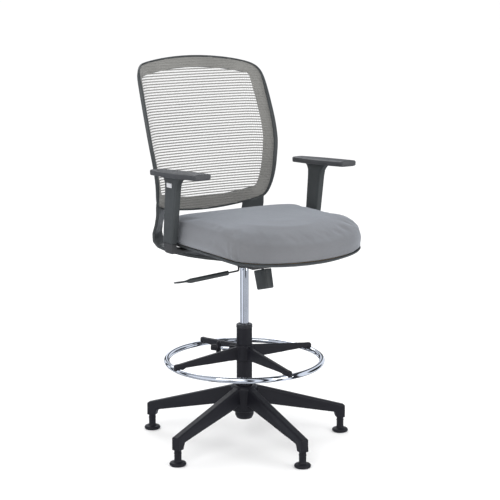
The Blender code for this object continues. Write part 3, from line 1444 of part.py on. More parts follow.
# ---------------------------------------------------------------- assembly
def main():
    clear_scene()
    nylon = make_material("black_nylon", (0.028, 0.029, 0.032), 0.55)
    frame_grey = make_material("frame_plastic", (0.075, 0.080, 0.085), 0.50)
    pad_grey = make_material("arm_pad_grey", (0.070, 0.075, 0.082), 0.60)
    chrome = make_material("chrome", (0.80, 0.82, 0.85), 0.08, 1.0)
    steel = make_material("zinc_steel", (0.45, 0.46, 0.48), 0.35, 1.0)
    acetal = make_material("black_acetal", (0.030, 0.030, 0.032), 0.45)
    alloy = make_material("painted_casting", (0.035, 0.036, 0.038), 0.50)
    wood = make_material("moulded_plywood", (0.45, 0.33, 0.20), 0.65)
    fabric = make_material("grey_fabric", (0.27, 0.27, 0.28), 0.90)
    yarn = make_material("grey_mesh", (0.22, 0.215, 0.205), 0.85)
    button_grey = make_material("button_light_grey", (0.62, 0.63, 0.66), 0.45)

    root = make_axis("floor_point", (0, 0, 0))
    root.location.y = COLUMN_SETBACK
    swivel = make_axis("seat_swivel_axis", (0, 0, TUBE_BOTTOM_Z), root)
    lift = make_axis("seat_height_axis", (0, 0, CYLINDER_BOTTOM_Z), swivel)
    footring_axis = make_axis("footring_axis", (0, 0, FOOTRING_Z), root)
    clamp_place = clamp_direction() * KNOB_START + Vector((0, 0, CLAMP_Z))
    clamp_axis = make_axis("footring_clamp_axis", clamp_place, footring_axis)
    lever_axis = make_axis("height_lever_axis", (LEVER_PIVOT[0], LEVER_Y, LEVER_PIVOT[1]), lift)
    release_axis = make_axis("release_pin_axis", (0, 0, CYLINDER_TOP_Z), lift)
    tension_place, _ = tension_axis()
    tension_turn = make_axis("tension_knob_axis", tension_place, lift)
    back_axis = make_axis("back_tilt_axis", (0, *BACK_PIVOT), lift)
    seat_axis = make_axis("seat_tilt_axis", (0, *SEAT_PIVOT), lift)

    make_base(root, nylon)
    make_glides(root, nylon)
    make_column(root, nylon, steel, acetal)
    make_piston(swivel, steel)
    make_cylinder(lift, chrome)
    make_release_pin(release_axis, steel)
    make_footring(footring_axis, chrome, nylon)
    make_clamp(clamp_axis, nylon, chrome)
    make_housing(lift, alloy)
    make_pivots(lift, steel)
    make_tension(lift, tension_turn, steel, nylon)
    make_lever(lever_axis, steel, nylon)
    make_seat(seat_axis, nylon, wood, fabric, steel)
    for side, name in SIDES:
        slide_place = (side * ARM_X, ARM_CENTRE_Y, ARM_FOOT_Z)
        slide_axis = make_axis(f"arm_height_axis_{name}", slide_place, seat_axis)
        button_axis = make_axis(f"arm_button_axis_{name}", button_place(side), slide_axis)
        make_arm_bracket(side, f"arm_bracket_{name}", seat_axis, steel)
        make_arm(side, name, slide_axis, button_axis, frame_grey, pad_grey, button_grey)
        cheek_x = make_back_arm(side, name, back_axis, frame_grey, steel)
    make_back_links(back_axis, steel, cheek_x)
    make_frame(back_axis, frame_grey)
    make_mesh(back_axis, yarn)


main()
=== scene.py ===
"""Looks of a drafting chair: mesh back, upholstered seat, chrome foot ring and star base on glides."""

import json
import logging
import math
from collections.abc import Callable, Iterable, Sequence
from dataclasses import dataclass, field
from enum import Enum

import bmesh
import bpy
from mathutils import Matrix, Vector


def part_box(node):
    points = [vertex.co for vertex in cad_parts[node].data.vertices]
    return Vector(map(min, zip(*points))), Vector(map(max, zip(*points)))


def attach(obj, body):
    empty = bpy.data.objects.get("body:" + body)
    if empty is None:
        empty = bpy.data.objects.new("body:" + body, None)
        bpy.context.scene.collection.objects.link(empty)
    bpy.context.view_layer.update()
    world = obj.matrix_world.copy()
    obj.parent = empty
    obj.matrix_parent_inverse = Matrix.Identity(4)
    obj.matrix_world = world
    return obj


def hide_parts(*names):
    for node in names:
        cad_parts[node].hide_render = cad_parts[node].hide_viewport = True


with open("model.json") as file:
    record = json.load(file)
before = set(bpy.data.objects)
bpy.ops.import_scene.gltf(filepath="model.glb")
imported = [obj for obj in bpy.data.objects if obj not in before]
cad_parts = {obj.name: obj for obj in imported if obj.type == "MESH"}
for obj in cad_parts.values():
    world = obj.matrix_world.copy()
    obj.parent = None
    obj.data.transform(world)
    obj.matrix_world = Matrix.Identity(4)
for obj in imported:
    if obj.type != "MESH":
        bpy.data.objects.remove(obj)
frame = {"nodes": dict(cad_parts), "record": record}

LOG = logging.getLogger("drafting_chair")
SETBACK = 0.030              # the gas column's axis, behind the floor point
FULL_TURN = 2.0 * math.pi
Point = tuple[float, float, float]
Colour = tuple[float, float, float]
Socket = bpy.types.NodeSocket


class Side(Enum):
    """The chair's two sides, as its sitter names them."""

    RIGHT = -1
    LEFT = 1

    @property
    def tag(self) -> str:
        """The side's word in piece names."""
        return self.name.lower()


class Pattern(Enum):
    """How a finish's fine relief runs."""

    GRAIN = "grain"
    BRUSHED = "brushed"


# ------------------------------------------------------------------ finishes
@dataclass
class Bench:
    """A material's nodes, with short ways to add and join them."""

    material: bpy.types.Material

    @classmethod
    def named(cls, name: str) -> "Bench":
        """Starts a new material.

        Args:
            name: The material's name.

        Returns:
            The bench that holds it.
        """
        material = bpy.data.materials.new(name)
        material.use_nodes = True
        return cls(material)

    @property
    def shader(self) -> bpy.types.Node:
        """The material's main shader."""
        return self.material.node_tree.nodes["Principled BSDF"]

    def node(self, kind: str, **settings: object) -> bpy.types.Node:
        """Adds a node.

        Args:
            kind: The node's type name.
            settings: Properties of the node; a key in capitals names an input socket.

        Returns:
            The new node.
        """
        made = self.material.node_tree.nodes.new(kind)
        for key, value in settings.items():
            if key.isupper():
                made.inputs[key.replace("_", " ").title()].default_value = value
            else:
                setattr(made, key, value)
        return made

    def link(self, source: Socket, target: Socket) -> None:
        """Joins an output to an input."""
        self.material.node_tree.links.new(source, target)

    def place(self, stretch: Point = (1.0, 1.0, 1.0)) -> Socket:
        """The place on the object, stretched along its axes.

        Args:
            stretch: The scale along each axis.

        Returns:
            The output socket that carries it.
        """
        where = self.node("ShaderNodeTexCoord")
        mapping = self.node("ShaderNodeMapping")
        mapping.inputs["Scale"].default_value = stretch
        self.link(where.outputs["Object"], mapping.inputs["Vector"])
        return mapping.outputs["Vector"]

    def noise(self, place: Socket, scale: float, detail: float = 2.0) -> Socket:
        """Adds a noise pattern.

        Args:
            place: Where it is read.
            scale: How fine it is.
            detail: How many finer layers it has.

        Returns:
            The pattern's value.
        """
        noise = self.node("ShaderNodeTexNoise", SCALE=scale, DETAIL=detail)
        self.link(place, noise.inputs["Vector"])
        return noise.outputs["Fac"]

    def wave(self, place: Socket, axis: str, scale: float, wander: float) -> Socket:
        """Adds even bands across one axis.

        Args:
            place: Where they are read.
            axis: The axis they cross.
            scale: How close they are.
            wander: How far they stray.

        Returns:
            The bands' value.
        """
        wave = self.node("ShaderNodeTexWave", bands_direction=axis, SCALE=scale, DISTORTION=wander)
        self.link(place, wave.inputs["Vector"])
        return wave.outputs["Fac"]

    def sum(self, first: Socket, second: Socket, how: str = "ADD") -> Socket:
        """Joins two values by a sum, or another operation that how names."""
        joined = self.node("ShaderNodeMath", operation=how)
        self.link(first, joined.inputs[0])
        self.link(second, joined.inputs[1])
        return joined.outputs["Value"]

    def shades(self, value: Socket, dark: Colour, light: Colour, low: float, high: float) -> Socket:
        """Turns a value into a colour between two shades.

        Args:
            value: The value to read.
            dark: The shade at low.
            light: The shade at high.
            low: The value that gives the dark shade.
            high: The value that gives the light shade.

        Returns:
            The colour.
        """
        ramp = self.node("ShaderNodeValToRGB")
        ramp.color_ramp.elements[0].position = low
        ramp.color_ramp.elements[0].color = (*dark, 1.0)
        ramp.color_ramp.elements[1].position = high
        ramp.color_ramp.elements[1].color = (*light, 1.0)
        self.link(value, ramp.inputs["Fac"])
        return ramp.outputs["Color"]

    def spread(self, value: Socket, low: float, high: float) -> Socket:
        """Spreads a pattern's value over a range.

        Args:
            value: The value, from 0.3 to 0.7.
            low: What 0.3 becomes.
            high: What 0.7 becomes.

        Returns:
            The new value.
        """
        ranged = self.node("ShaderNodeMapRange")
        for name, number in (("From Min", 0.3), ("From Max", 0.7), ("To Min", low), ("To Max", high)):
            ranged.inputs[name].default_value = number
        self.link(value, ranged.inputs["Value"])
        return ranged.outputs["Result"]

    def relief(self, height: Socket, depth: float, strength: float) -> None:
        """Gives the surface a fine relief.

        Args:
            height: The pattern's value.
            depth: How deep it is, in metres.
            strength: How far it shows, from 0 to 1.
        """
        bump = self.node("ShaderNodeBump")
        bump.inputs["Distance"].default_value = depth
        bump.inputs["Strength"].default_value = strength
        self.link(height, bump.inputs["Height"])
        self.link(bump.outputs["Normal"], self.shader.inputs["Normal"])


def scaled(colour: Colour, share: float) -> Colour:
    """A colour made lighter or darker by a share."""
    return tuple(min(1.0, part * share) for part in colour)


@dataclass(frozen=True)
class MouldedPlastic:
    """Moulded plastic with a fine spark-eroded grain, slightly uneven in shade and gloss."""

    name: str
    colour: Colour
    roughness: float
    grain_scale: float = 1100.0
    grain_depth: float = 0.00012
    mottle: float = 0.10
    gloss: float = 0.5

    def build(self) -> bpy.types.Material:
        """Makes the material."""
        bench = Bench.named(self.name)
        place = bench.place()
        broad = bench.noise(place, 9.0, 3.0)
        dark, light = scaled(self.colour, 1.0 - self.mottle), scaled(self.colour, 1.0 + self.mottle)
        bench.link(bench.shades(broad, dark, light, 0.35, 0.65), bench.shader.inputs["Base Color"])
        bench.shader.inputs["Specular IOR Level"].default_value = self.gloss
        gloss = bench.spread(bench.noise(place, 60.0, 4.0), self.roughness - 0.05, self.roughness + 0.07)
        bench.link(gloss, bench.shader.inputs["Roughness"])
        bench.relief(bench.noise(place, self.grain_scale, 3.0), self.grain_depth, 0.35)
        return bench.material


@dataclass(frozen=True)
class Metal:
    """Plated, brushed or coated metal, with faint smudges in its gloss."""

    name: str
    colour: Colour
    roughness: float
    metallic: float = 1.0
    pattern: Pattern = Pattern.GRAIN
    relief_depth: float = 0.00003

    def build(self) -> bpy.types.Material:
        """Makes the material."""
        bench = Bench.named(self.name)
        bench.shader.inputs["Metallic"].default_value = self.metallic
        stretch = (1.0, 1.0, 0.03) if self.pattern is Pattern.BRUSHED else (1.0, 1.0, 1.0)
        place = bench.place(stretch)
        tone = bench.noise(place, 14.0, 3.0)
        dark, light = scaled(self.colour, 0.95), scaled(self.colour, 1.04)
        bench.link(bench.shades(tone, dark, light, 0.35, 0.65), bench.shader.inputs["Base Color"])
        smudge = bench.noise(place, 45.0, 5.0)
        gloss = bench.spread(smudge, self.roughness * 0.7, self.roughness * 1.5)
        bench.link(gloss, bench.shader.inputs["Roughness"])
        bench.relief(bench.noise(place, 900.0, 2.0), self.relief_depth, 0.15)
        return bench.material


@dataclass(frozen=True)
class WovenUpholstery:
    """Plain-woven seat cloth: crossing threads, a flecked yarn and a soft nap."""

    name: str
    colour: Colour
    thread_scale: float = 260.0
    nap: float = 0.35

    def build(self) -> bpy.types.Material:
        """Makes the material."""
        bench = Bench.named(self.name)
        place = bench.place()
        threads = bench.sum(
            bench.wave(place, "X", self.thread_scale, 0.6),
            bench.wave(place, "Y", self.thread_scale, 0.6),
        )
        threads = bench.sum(threads, bench.wave(place, "Z", self.thread_scale, 0.6))
        fleck = bench.noise(place, 700.0, 2.0)
        wear = bench.noise(place, 5.0, 3.0)
        yarn = bench.sum(fleck, wear, "MULTIPLY")
        dark, light = scaled(self.colour, 0.86), scaled(self.colour, 1.13)
        bench.link(bench.shades(yarn, dark, light, 0.14, 0.36), bench.shader.inputs["Base Color"])
        bench.shader.inputs["Roughness"].default_value = 0.92
        bench.shader.inputs["Specular IOR Level"].default_value = 0.25
        bench.shader.inputs["Sheen Weight"].default_value = self.nap
        bench.shader.inputs["Sheen Roughness"].default_value = 0.55
        bench.shader.inputs["Sheen Tint"].default_value = (0.80, 0.88, 1.0, 1.0)
        bench.relief(bench.sum(threads, fleck), 0.0002, 0.35)
        return bench.material


@dataclass(frozen=True)
class StretchKnit:
    """The back's warm grey yarn, ribbed across each flat bar of the knit."""

    name: str
    colour: Colour
    rib_scale: float = 200.0

    def build(self) -> bpy.types.Material:
        """Makes the material."""
        bench = Bench.named(self.name)
        place = bench.place()
        ribs = bench.wave(place, "X", self.rib_scale, 0.8)
        shade = bench.sum(bench.noise(place, 500.0, 2.0), bench.noise(place, 6.0, 2.0), "MULTIPLY")
        dark, light = scaled(self.colour, 0.88), scaled(self.colour, 1.12)
        bench.link(bench.shades(shade, dark, light, 0.14, 0.36), bench.shader.inputs["Base Color"])
        bench.shader.inputs["Roughness"].default_value = 0.80
        bench.shader.inputs["Sheen Weight"].default_value = 0.25
        bench.relief(ribs, 0.00025, 0.5)
        return bench.material


@dataclass(frozen=True)
class Plywood:
    """Moulded beech plywood, its grain along the seat and its plies on the edge."""

    name: str
    colour: Colour

    def build(self) -> bpy.types.Material:
        """Makes the material."""
        bench = Bench.named(self.name)
        grain = bench.noise(bench.place((40.0, 3.0, 40.0)), 3.0, 5.0)
        plies = bench.wave(bench.place(), "Z", 320.0, 0.3)
        mixed = bench.sum(grain, plies, "MULTIPLY")
        dark, light = scaled(self.colour, 0.7), scaled(self.colour, 1.2)
        bench.link(bench.shades(mixed, dark, light, 0.1, 0.5), bench.shader.inputs["Base Color"])
        bench.shader.inputs["Roughness"].default_value = 0.6
        bench.relief(grain, 0.0002, 0.3)
        return bench.material


FINISHES = {
    "black_nylon": MouldedPlastic("black_nylon_grain", (0.010, 0.010, 0.014), 0.42, gloss=0.28),
    "frame_plastic": MouldedPlastic("frame_grey_grain", (0.038, 0.043, 0.045), 0.42, gloss=0.45),
    "arm_pad_grey": MouldedPlastic("pad_skin", (0.042, 0.044, 0.048), 0.45, 700.0, 0.0002),
    "chrome": Metal("chrome_plate", (0.82, 0.85, 0.90), 0.05),
    "zinc_steel": Metal("zinc_plate", (0.46, 0.47, 0.49), 0.32, 1.0, Pattern.BRUSHED),
    "black_acetal": MouldedPlastic("black_acetal_smooth", (0.014, 0.014, 0.017), 0.34, 500.0, 0.00004),
    "painted_casting": Metal("black_powder_coat", (0.036, 0.037, 0.039), 0.46, 0.0, Pattern.GRAIN, 0.0003),
    "moulded_plywood": Plywood("beech_plywood", (0.50, 0.36, 0.21)),
    "grey_fabric": WovenUpholstery("seat_cloth", (0.148, 0.151, 0.160)),
    "grey_mesh": StretchKnit("back_knit", (0.212, 0.210, 0.200)),
    "button_light_grey": MouldedPlastic("button_grey", (0.60, 0.61, 0.64), 0.42),
}


# ------------------------------------------------------------------ workshop
@dataclass
class Workshop:
    """Makes pieces, dresses them and hands them to their bodies."""

    materials: dict[str, bpy.types.Material] = field(default_factory=dict)
    count: int = 0

    def material(self, slot: str) -> bpy.types.Material:
        """The finish of a slot, made on its first use."""
        if slot not in self.materials:
            self.materials[slot] = FINISHES[slot].build()
        return self.materials[slot]

    @staticmethod
    def pick(piece: bpy.types.Object) -> None:
        """Makes a piece the only one selected, and the active one."""
        bpy.ops.object.select_all(action="DESELECT")
        piece.select_set(True)
        bpy.context.view_layer.objects.active = piece

    def modify(self, piece: bpy.types.Object, kind: str, **settings: object) -> None:
        """Adds a modifier and applies it.

        Args:
            piece: The piece to change.
            kind: The modifier's type.
            settings: Its properties.
        """
        self.pick(piece)
        modifier = piece.modifiers.new(kind.lower(), kind)
        for key, value in settings.items():
            setattr(modifier, key, value)
        bpy.ops.object.modifier_apply(modifier=modifier.name)

    def clean(self, piece: bpy.types.Object, merge: float = 1e-6) -> None:
        """Merges doubled points, fills open ends and turns every face outwards."""
        self.pick(piece)
        bpy.ops.object.mode_set(mode="EDIT")
        bpy.ops.mesh.select_all(action="SELECT")
        bpy.ops.mesh.remove_doubles(threshold=merge)
        bpy.ops.mesh.fill_holes(sides=0)
        bpy.ops.mesh.normals_make_consistent(inside=False)
        bpy.ops.mesh.select_all(action="DESELECT")
        bpy.ops.object.mode_set(mode="OBJECT")

    def wrapped(
        self, name: str, around: int, rows: int, place: Callable[[float, int], Vector], capped: bool = True
    ) -> bpy.types.Object:
        """Bends a flat grid round into a tube that runs through rows.

        Args:
            name: The piece's name.
            around: The faces round the tube.
            rows: The rows along it.
            place: Gives a point from its share round the tube and its row.
            capped: Whether the ends are filled; if not, the last row joins the first.

        Returns:
            The closed piece.
        """
        bpy.ops.object.select_all(action="DESELECT")
        steps = rows - 1 if capped else rows
        bpy.ops.mesh.primitive_grid_add(x_subdivisions=around, y_subdivisions=steps, size=2.0)
        piece = bpy.context.object
        piece.name = piece.data.name = name
        for vertex in piece.data.vertices:
            share = (vertex.co.x + 1.0) / 2.0
            row = round((vertex.co.y + 1.0) / 2.0 * steps)
            vertex.co = place(share % 1.0 if share < 0.9999 else 0.0, row % rows)
        self.clean(piece)
        return piece

    def turned(
        self,
        name: str,
        profile: Sequence[tuple[float, float]],
        steps: int,
        foot: Point,
        up: Point = (0, 0, 1),
    ) -> bpy.types.Object:
        """Spins a profile about an axis.

        Args:
            name: The piece's name.
            profile: Points (radius, height) from one end of the axis to the other.
            steps: The facets round the piece.
            foot: Where the profile's height is 0.
            up: The axis.

        Returns:
            The closed piece.
        """
        bpy.ops.object.select_all(action="DESELECT")
        bpy.ops.mesh.primitive_plane_add(size=1.0)
        piece = bpy.context.object
        piece.name = piece.data.name = name
        outline = bmesh.new()
        points = [outline.verts.new((radius, 0.0, height)) for radius, height in profile]
        for first, second in zip(points, points[1:]):
            outline.edges.new((first, second))
        outline.to_mesh(piece.data)
        outline.free()
        bpy.ops.object.mode_set(mode="EDIT")
        bpy.ops.mesh.select_all(action="SELECT")
        bpy.ops.mesh.spin(steps=steps, angle=FULL_TURN, center=(0, 0, 0), axis=(0, 0, 1))
        bpy.ops.object.mode_set(mode="OBJECT")
        self.clean(piece, 1e-5)
        turn = Vector((0, 0, 1)).rotation_difference(Vector(up).normalized()).to_matrix().to_4x4()
        piece.data.transform(Matrix.Translation(foot) @ turn)
        return piece

    def softened(self, node: str, name: str, grain: float, passes: int = 4) -> bpy.types.Object:
        """Copies a CAD solid and rounds its edges as a mould does.

        Args:
            node: The solid to copy.
            name: The new piece's name.
            grain: The size of the new faces, in metres.
            passes: How often the surface is smoothed.

        Returns:
            The rounded piece.
        """
        piece = bpy.data.objects.new(name, frame["nodes"][node].data.copy())
        bpy.context.scene.collection.objects.link(piece)
        piece.data.materials.clear()
        self.clean(piece, 1e-5)
        self.modify(piece, "REMESH", mode="VOXEL", voxel_size=grain, adaptivity=0.0)
        self.modify(piece, "SMOOTH", factor=0.5, iterations=passes)
        return piece

    def recess(self, piece: bpy.types.Object, node: str, room: float, travel: Point) -> None:
        """Cuts room in a piece for a CAD part that slides into it.

        Args:
            piece: The piece to cut.
            node: The sliding part.
            room: The clearance all round it.
            travel: How far it slides, and which way.
        """
        low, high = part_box(node)
        path = Vector(travel)
        ends = [corner + shift for corner in (low, high) for shift in (Vector(), path)]
        near = Vector(min(end[axis] for end in ends) - room for axis in range(3))
        far = Vector(max(end[axis] for end in ends) + room for axis in range(3))
        bpy.ops.object.select_all(action="DESELECT")
        bpy.ops.mesh.primitive_cube_add(size=1.0, location=(near + far) / 2, scale=far - near)
        cutter = bpy.context.object
        self.modify(piece, "BOOLEAN", operation="DIFFERENCE", solver="EXACT", object=cutter)
        bpy.data.objects.remove(cutter)

    def finish(
        self, piece: bpy.types.Object, body: str, slot: str, nodes: Iterable[str] = (), crease: float = 40.0
    ) -> bpy.types.Object:
        """Dresses a piece and hands it to its body.

        Args:
            piece: The finished mesh.
            body: The body it moves with.
            slot: The material slot it takes its finish from.
            nodes: The CAD solids it stands for.
            crease: Faces that meet at a smaller angle than this shade smoothly.

        Returns:
            The same piece.
        """
        self.pick(piece)
        piece.data.materials.clear()
        piece.data.materials.append(self.material(slot))
        bpy.ops.object.shade_smooth_by_angle(angle=math.radians(crease))
        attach(piece, body)
        if nodes:
            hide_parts(*nodes)
        self.count += 1
        LOG.info("%s rides on %s with %d faces in %s", piece.name, body, len(piece.data.polygons), slot)
        return piece

    def dress_kept_nodes(self) -> None:
        """Gives every CAD solid the finish of its slot."""
        for part in frame["record"]["subparts"]:
            solid = frame["nodes"][part["node"]]
            solid.data.materials.clear()
            solid.data.materials.append(self.material(part["material_slot"]))


def smooth_step(value: float) -> float:
    """A value from 0 to 1 that starts and ends gently."""
    value = min(max(value, 0.0), 1.0)
    return value * value * (3.0 - 2.0 * value)


def superellipse(share: float, half_x: float, half_y: float, power: float) -> tuple[float, float]:
    """A point of a rounded rectangle, at a share of a turn round it."""
    angle = FULL_TURN * share
    angle += 0.2 * math.sin(4.0 * angle)
    c, s = math.cos(angle), math.sin(angle)
    radius = (abs(c) ** power + abs(s) ** power) ** (-1.0 / power)
    return half_x * radius * c, half_y * radius * s


# ------------------------------------------------------------------ back
@dataclass
class Back:
    """The mesh back: a curved frame with a raised rim, its knit, and the two arms that carry it."""

    shop: Workshop
    top_z: float = 1.210
    bottom_z: float = 0.718
    half_width: float = 0.243
    widest_z: float = 1.000
    narrowing_low: float = 0.44
    narrowing_high: float = 0.22
    arch_top: float = 0.52
    arch_bottom: float = 0.60
    squareness_top: float = 14.0
    squareness_bottom: float = 22.0
    squareness_inside: float = 60.0
    lumbar: tuple[float, float, float] = (0.218, 0.812, 0.070)
    lean: float = 0.36
    band_side: float = 0.033
    band_top: float = 0.037
    band_bottom: float = 0.045
    strut_front: float = 0.18
    tongue_drop: float = 0.006
    tongue_squash: float = 0.02
    shoulder_z: float = 0.727
    shoulder_inner: float = 0.182
    shoulder_outer: float = 0.206
    shoulder_rise: float = 0.022
    screw_shift: Point = (0.0, 0.002, -0.012)
    frame_thickness: float = 0.007
    rear_inset: float = 0.016
    bar_pitch: float = 0.00835
    bar_height: float = 0.0037
    bar_low: float = 0.0006
    bar_high: float = 0.0019
    thread_pitch: float = 0.0052
    thread_radius: float = 0.00022

    def profile_y(self, z: float) -> float:
        """The middle line of the back, which bulges forward at the lumbar."""
        y, height, radius = self.lumbar
        return y + self.lean * (math.hypot(z - height, radius) - radius)

    @staticmethod
    def wrap(x: float) -> float:
        """How far the back comes forward at a distance from its middle."""
        beyond = abs(x) - 0.185
        return 0.35 * x * x + 0.5 * (beyond + math.hypot(beyond, 0.012))

    def point(self, x: float, z: float, offset: float = 0.0) -> Vector:
        """A point on the back's front face, moved forward along its normal.

        Args:
            x: Its distance from the middle.
            z: Its height.
            offset: How far in front of the face it lies.

        Returns:
            The point.
        """
        step = 0.001
        along_x = Vector((2 * step, self.wrap(x - step) - self.wrap(x + step), 0.0))
        along_z = Vector((0.0, self.profile_y(z + step) - self.profile_y(z - step), 2 * step))
        normal = along_x.cross(along_z).normalized()
        return Vector((x, self.profile_y(z) - self.wrap(x) + SETBACK, z)) + normal * offset

    def outline(self, angle: float, inset: float = 0.0) -> tuple[float, float]:
        """The frame's outline, or a line inside it.

        Args:
            angle: The place round it.
            inset: 0 on the outer edge, 1 on the inner edge of the band.

        Returns:
            Its x and z.
        """
        c, s = math.cos(angle), math.sin(angle)
        power = self.squareness_top if s > 0 else self.squareness_bottom
        power += (self.squareness_inside - power) * smooth_step(inset)
        radius = (abs(c) ** power + abs(s) ** power) ** (-1.0 / power)
        half_height = (self.top_z - self.bottom_z) / 2.0
        middle = (self.top_z + self.bottom_z) / 2.0
        z = middle + half_height * radius * s
        above = z - self.widest_z
        narrowing = self.narrowing_high if above > 0 else self.narrowing_low
        x = (self.half_width - narrowing * above * above) * radius * c
        arch = self.arch_top if s > 0 else -self.arch_bottom
        z -= arch * x * x * smooth_step(abs(s) * 2.0)
        band_end = self.band_top if s > 0 else self.band_bottom
        x *= 1.0 - inset * self.band_side / self.half_width
        return x, middle + (z - middle) * (1.0 - inset * band_end / half_height)

    @staticmethod
    def rim(angle: float) -> tuple[float, float]:
        """The raised rim's width and height: bold down the sides, slim along the top and bottom."""
        share = smooth_step((abs(math.cos(angle)) - 0.60) / 0.25)
        return 0.005 + 0.003 * share, 0.003 + 0.007 * share

    def frame_point(self, share: float, row: int) -> Vector:
        """A point of the frame's section, at a share of a turn round the outline."""
        angle = FULL_TURN * share
        angle += 0.2 * math.sin(4.0 * angle)
        width = math.dist(self.outline(angle), self.outline(angle, 1.0))
        rim_width, rim_height = self.rim(angle)
        rim, thick = rim_width / width, self.frame_thickness
        section = [
            (0.0, 0.0),
            (0.0, rim_height * 0.7),
            (rim * 0.35, rim_height),
            (rim, rim_height * 0.85),
            (rim, 0.0),
            (1.0, 0.0),
            (1.0, -thick * 0.7),
            (0.75, -thick),
            (self.rear_inset / width, -thick),
            (0.0, -0.001),
        ]
        inset, offset = section[row]
        return self.point(*self.outline(angle, inset), offset)

    def build_frame(self) -> None:
        """Makes the frame, with its edges rounded."""
        piece = self.shop.wrapped("frame_hoop", 288, 10, self.frame_point, capped=False)
        self.shop.modify(piece, "BEVEL", width=0.0011, segments=2, limit_method="ANGLE", angle_limit=0.55)
        self.shop.finish(piece, "back", "frame_plastic", ["back_frame"])

    def spans(self, level: float, upright: bool) -> tuple[float, float]:
        """Where a level or upright line crosses the inside of the rim.

        Args:
            level: The line's height, or its x if upright.
            upright: Whether the line runs up the back.

        Returns:
            The ends of the line inside the rim.
        """
        loop = []
        for i in range(720):
            angle = FULL_TURN * i / 720
            width = math.dist(self.outline(angle), self.outline(angle, 1.0))
            loop.append(self.outline(angle, (self.rim(angle)[0] + 0.0009) / width))
        across, along = (0, 1) if upright else (1, 0)
        found = []
        for first, second in zip(loop, loop[1:] + loop[:1]):
            low, high = first[across] - level, second[across] - level
            if low * high < 0:
                found.append(first[along] + (second[along] - first[along]) * low / (low - high))
        return (min(found), max(found)) if len(found) > 1 else (0.0, 0.0)

    def strand(self, name: str, along: int, section: Sequence[tuple[float, float]]) -> bpy.types.Object:
        """Makes one straight strand, which the back's surface then bends.

        Args:
            name: Its name.
            along: Its faces from end to end.
            section: Its cross section.

        Returns:
            A closed tube from x -1 to 1.
        """
        sides = len(section)

        def place(share: float, row: int) -> Vector:
            across = section[round(share * sides) % sides]
            return Vector((2.0 * row / along - 1.0, *across))

        return self.shop.wrapped(name, sides, along + 1, place)

    def lay(self, strand: bpy.types.Object, level: float, upright: bool) -> bpy.types.Object | None:
        """Copies a strand and lays it on the back.

        Args:
            strand: The strand to copy.
            level: Its height, or its x if upright.
            upright: Whether it runs up the back.

        Returns:
            The new strand, or None where it would be too short.
        """
        low, high = self.spans(level, upright)
        if high - low < 0.02:
            return None
        copy = bpy.data.objects.new(strand.name, strand.data.copy())
        bpy.context.scene.collection.objects.link(copy)
        for vertex in copy.data.vertices:
            run = low + (high - low) * (vertex.co.x + 1.0) / 2.0
            beside = level + vertex.co.y
            where = (beside, run) if upright else (run, beside)
            vertex.co = self.point(*where, vertex.co.z)
        return copy

    def selvedge_point(self, share: float, row: int) -> Vector:
        """A point of the knit's close-woven border, which lies on the frame's band."""
        angle = FULL_TURN * share
        angle += 0.2 * math.sin(4.0 * angle)
        width = math.dist(self.outline(angle), self.outline(angle, 1.0))
        inner = (self.rim(angle)[0] + 0.0009) / width
        inset, offset = [(inner, 0.0002), (inner, 0.0006), (0.985, 0.0006), (0.985, 0.0002)][row]
        return self.point(*self.outline(angle, inset), offset)

    def build_knit(self) -> None:
        """Makes the knit: flat level bars, tied by hair-thin threads that run up the back."""
        half, low, high = self.bar_height / 2, self.bar_low, self.bar_high
        section = [(-half, low), (-half * 0.7, high), (half * 0.7, high), (half, low)]
        bar = self.strand("bar", 64, section)
        thin = self.thread_radius
        thread = self.strand("thread", 56, [(-thin, low + thin), (thin, low + thin), (0.0, low + 3 * thin)])
        strands = []
        count = int((self.top_z - self.bottom_z) / self.bar_pitch)
        for i in range(count + 1):
            strands.append(self.lay(bar, self.bottom_z + 0.006 + i * self.bar_pitch, upright=False))
        columns = int(2 * self.half_width / self.thread_pitch)
        for i in range(columns + 1):
            strands.append(self.lay(thread, (i - columns / 2) * self.thread_pitch, upright=True))
        for pattern in (bar, thread):
            bpy.data.objects.remove(pattern, do_unlink=True)
        strands = [strand for strand in strands if strand is not None]
        strands.append(self.shop.wrapped("selvedge", 288, 4, self.selvedge_point, capped=False))
        bpy.ops.object.select_all(action="DESELECT")
        for strand in strands:
            strand.select_set(True)
        bpy.context.view_layer.objects.active = strands[0]
        bpy.ops.object.join()
        knit = bpy.context.object
        knit.name = knit.data.name = "knit_panel"
        self.shop.finish(knit, "back", "grey_mesh", ["back_mesh"])

    def build_arms(self) -> None:
        """Makes the two arms that run under the seat and up to the frame."""
        shoulder_width = self.shoulder_outer - self.shoulder_inner
        for side in Side:
            piece = self.shop.softened(f"back_arm_{side.tag}", f"back_carrier_{side.tag}", 0.0014, 5)
            for vertex in piece.data.vertices:
                edge = self.bottom_z + self.arch_bottom * vertex.co.x ** 2
                edge += self.band_bottom - self.tongue_drop
                if vertex.co.y < self.strut_front:
                    continue
                if vertex.co.z > edge:
                    vertex.co.z = edge + (vertex.co.z - edge) * self.tongue_squash
                elif vertex.co.z > self.shoulder_z:
                    share = (abs(vertex.co.x) - self.shoulder_inner) / shoulder_width
                    vertex.co.z += self.shoulder_rise * min(max(share, 0.0), 1.0)
            self.shop.finish(piece, "back", "frame_plastic", [f"back_arm_{side.tag}"], 60.0)
            screw = self.shop.softened(f"back_screw_upper_{side.tag}", f"hoop_screw_{side.tag}", 0.0004, 1)
            screw.data.transform(Matrix.Translation(self.screw_shift))
            self.shop.finish(screw, "back", "zinc_steel", [f"back_screw_upper_{side.tag}"], 60.0)

    def build(self) -> None:
        """Makes the whole back."""
        self.build_frame()
        self.build_knit()
        self.build_arms()


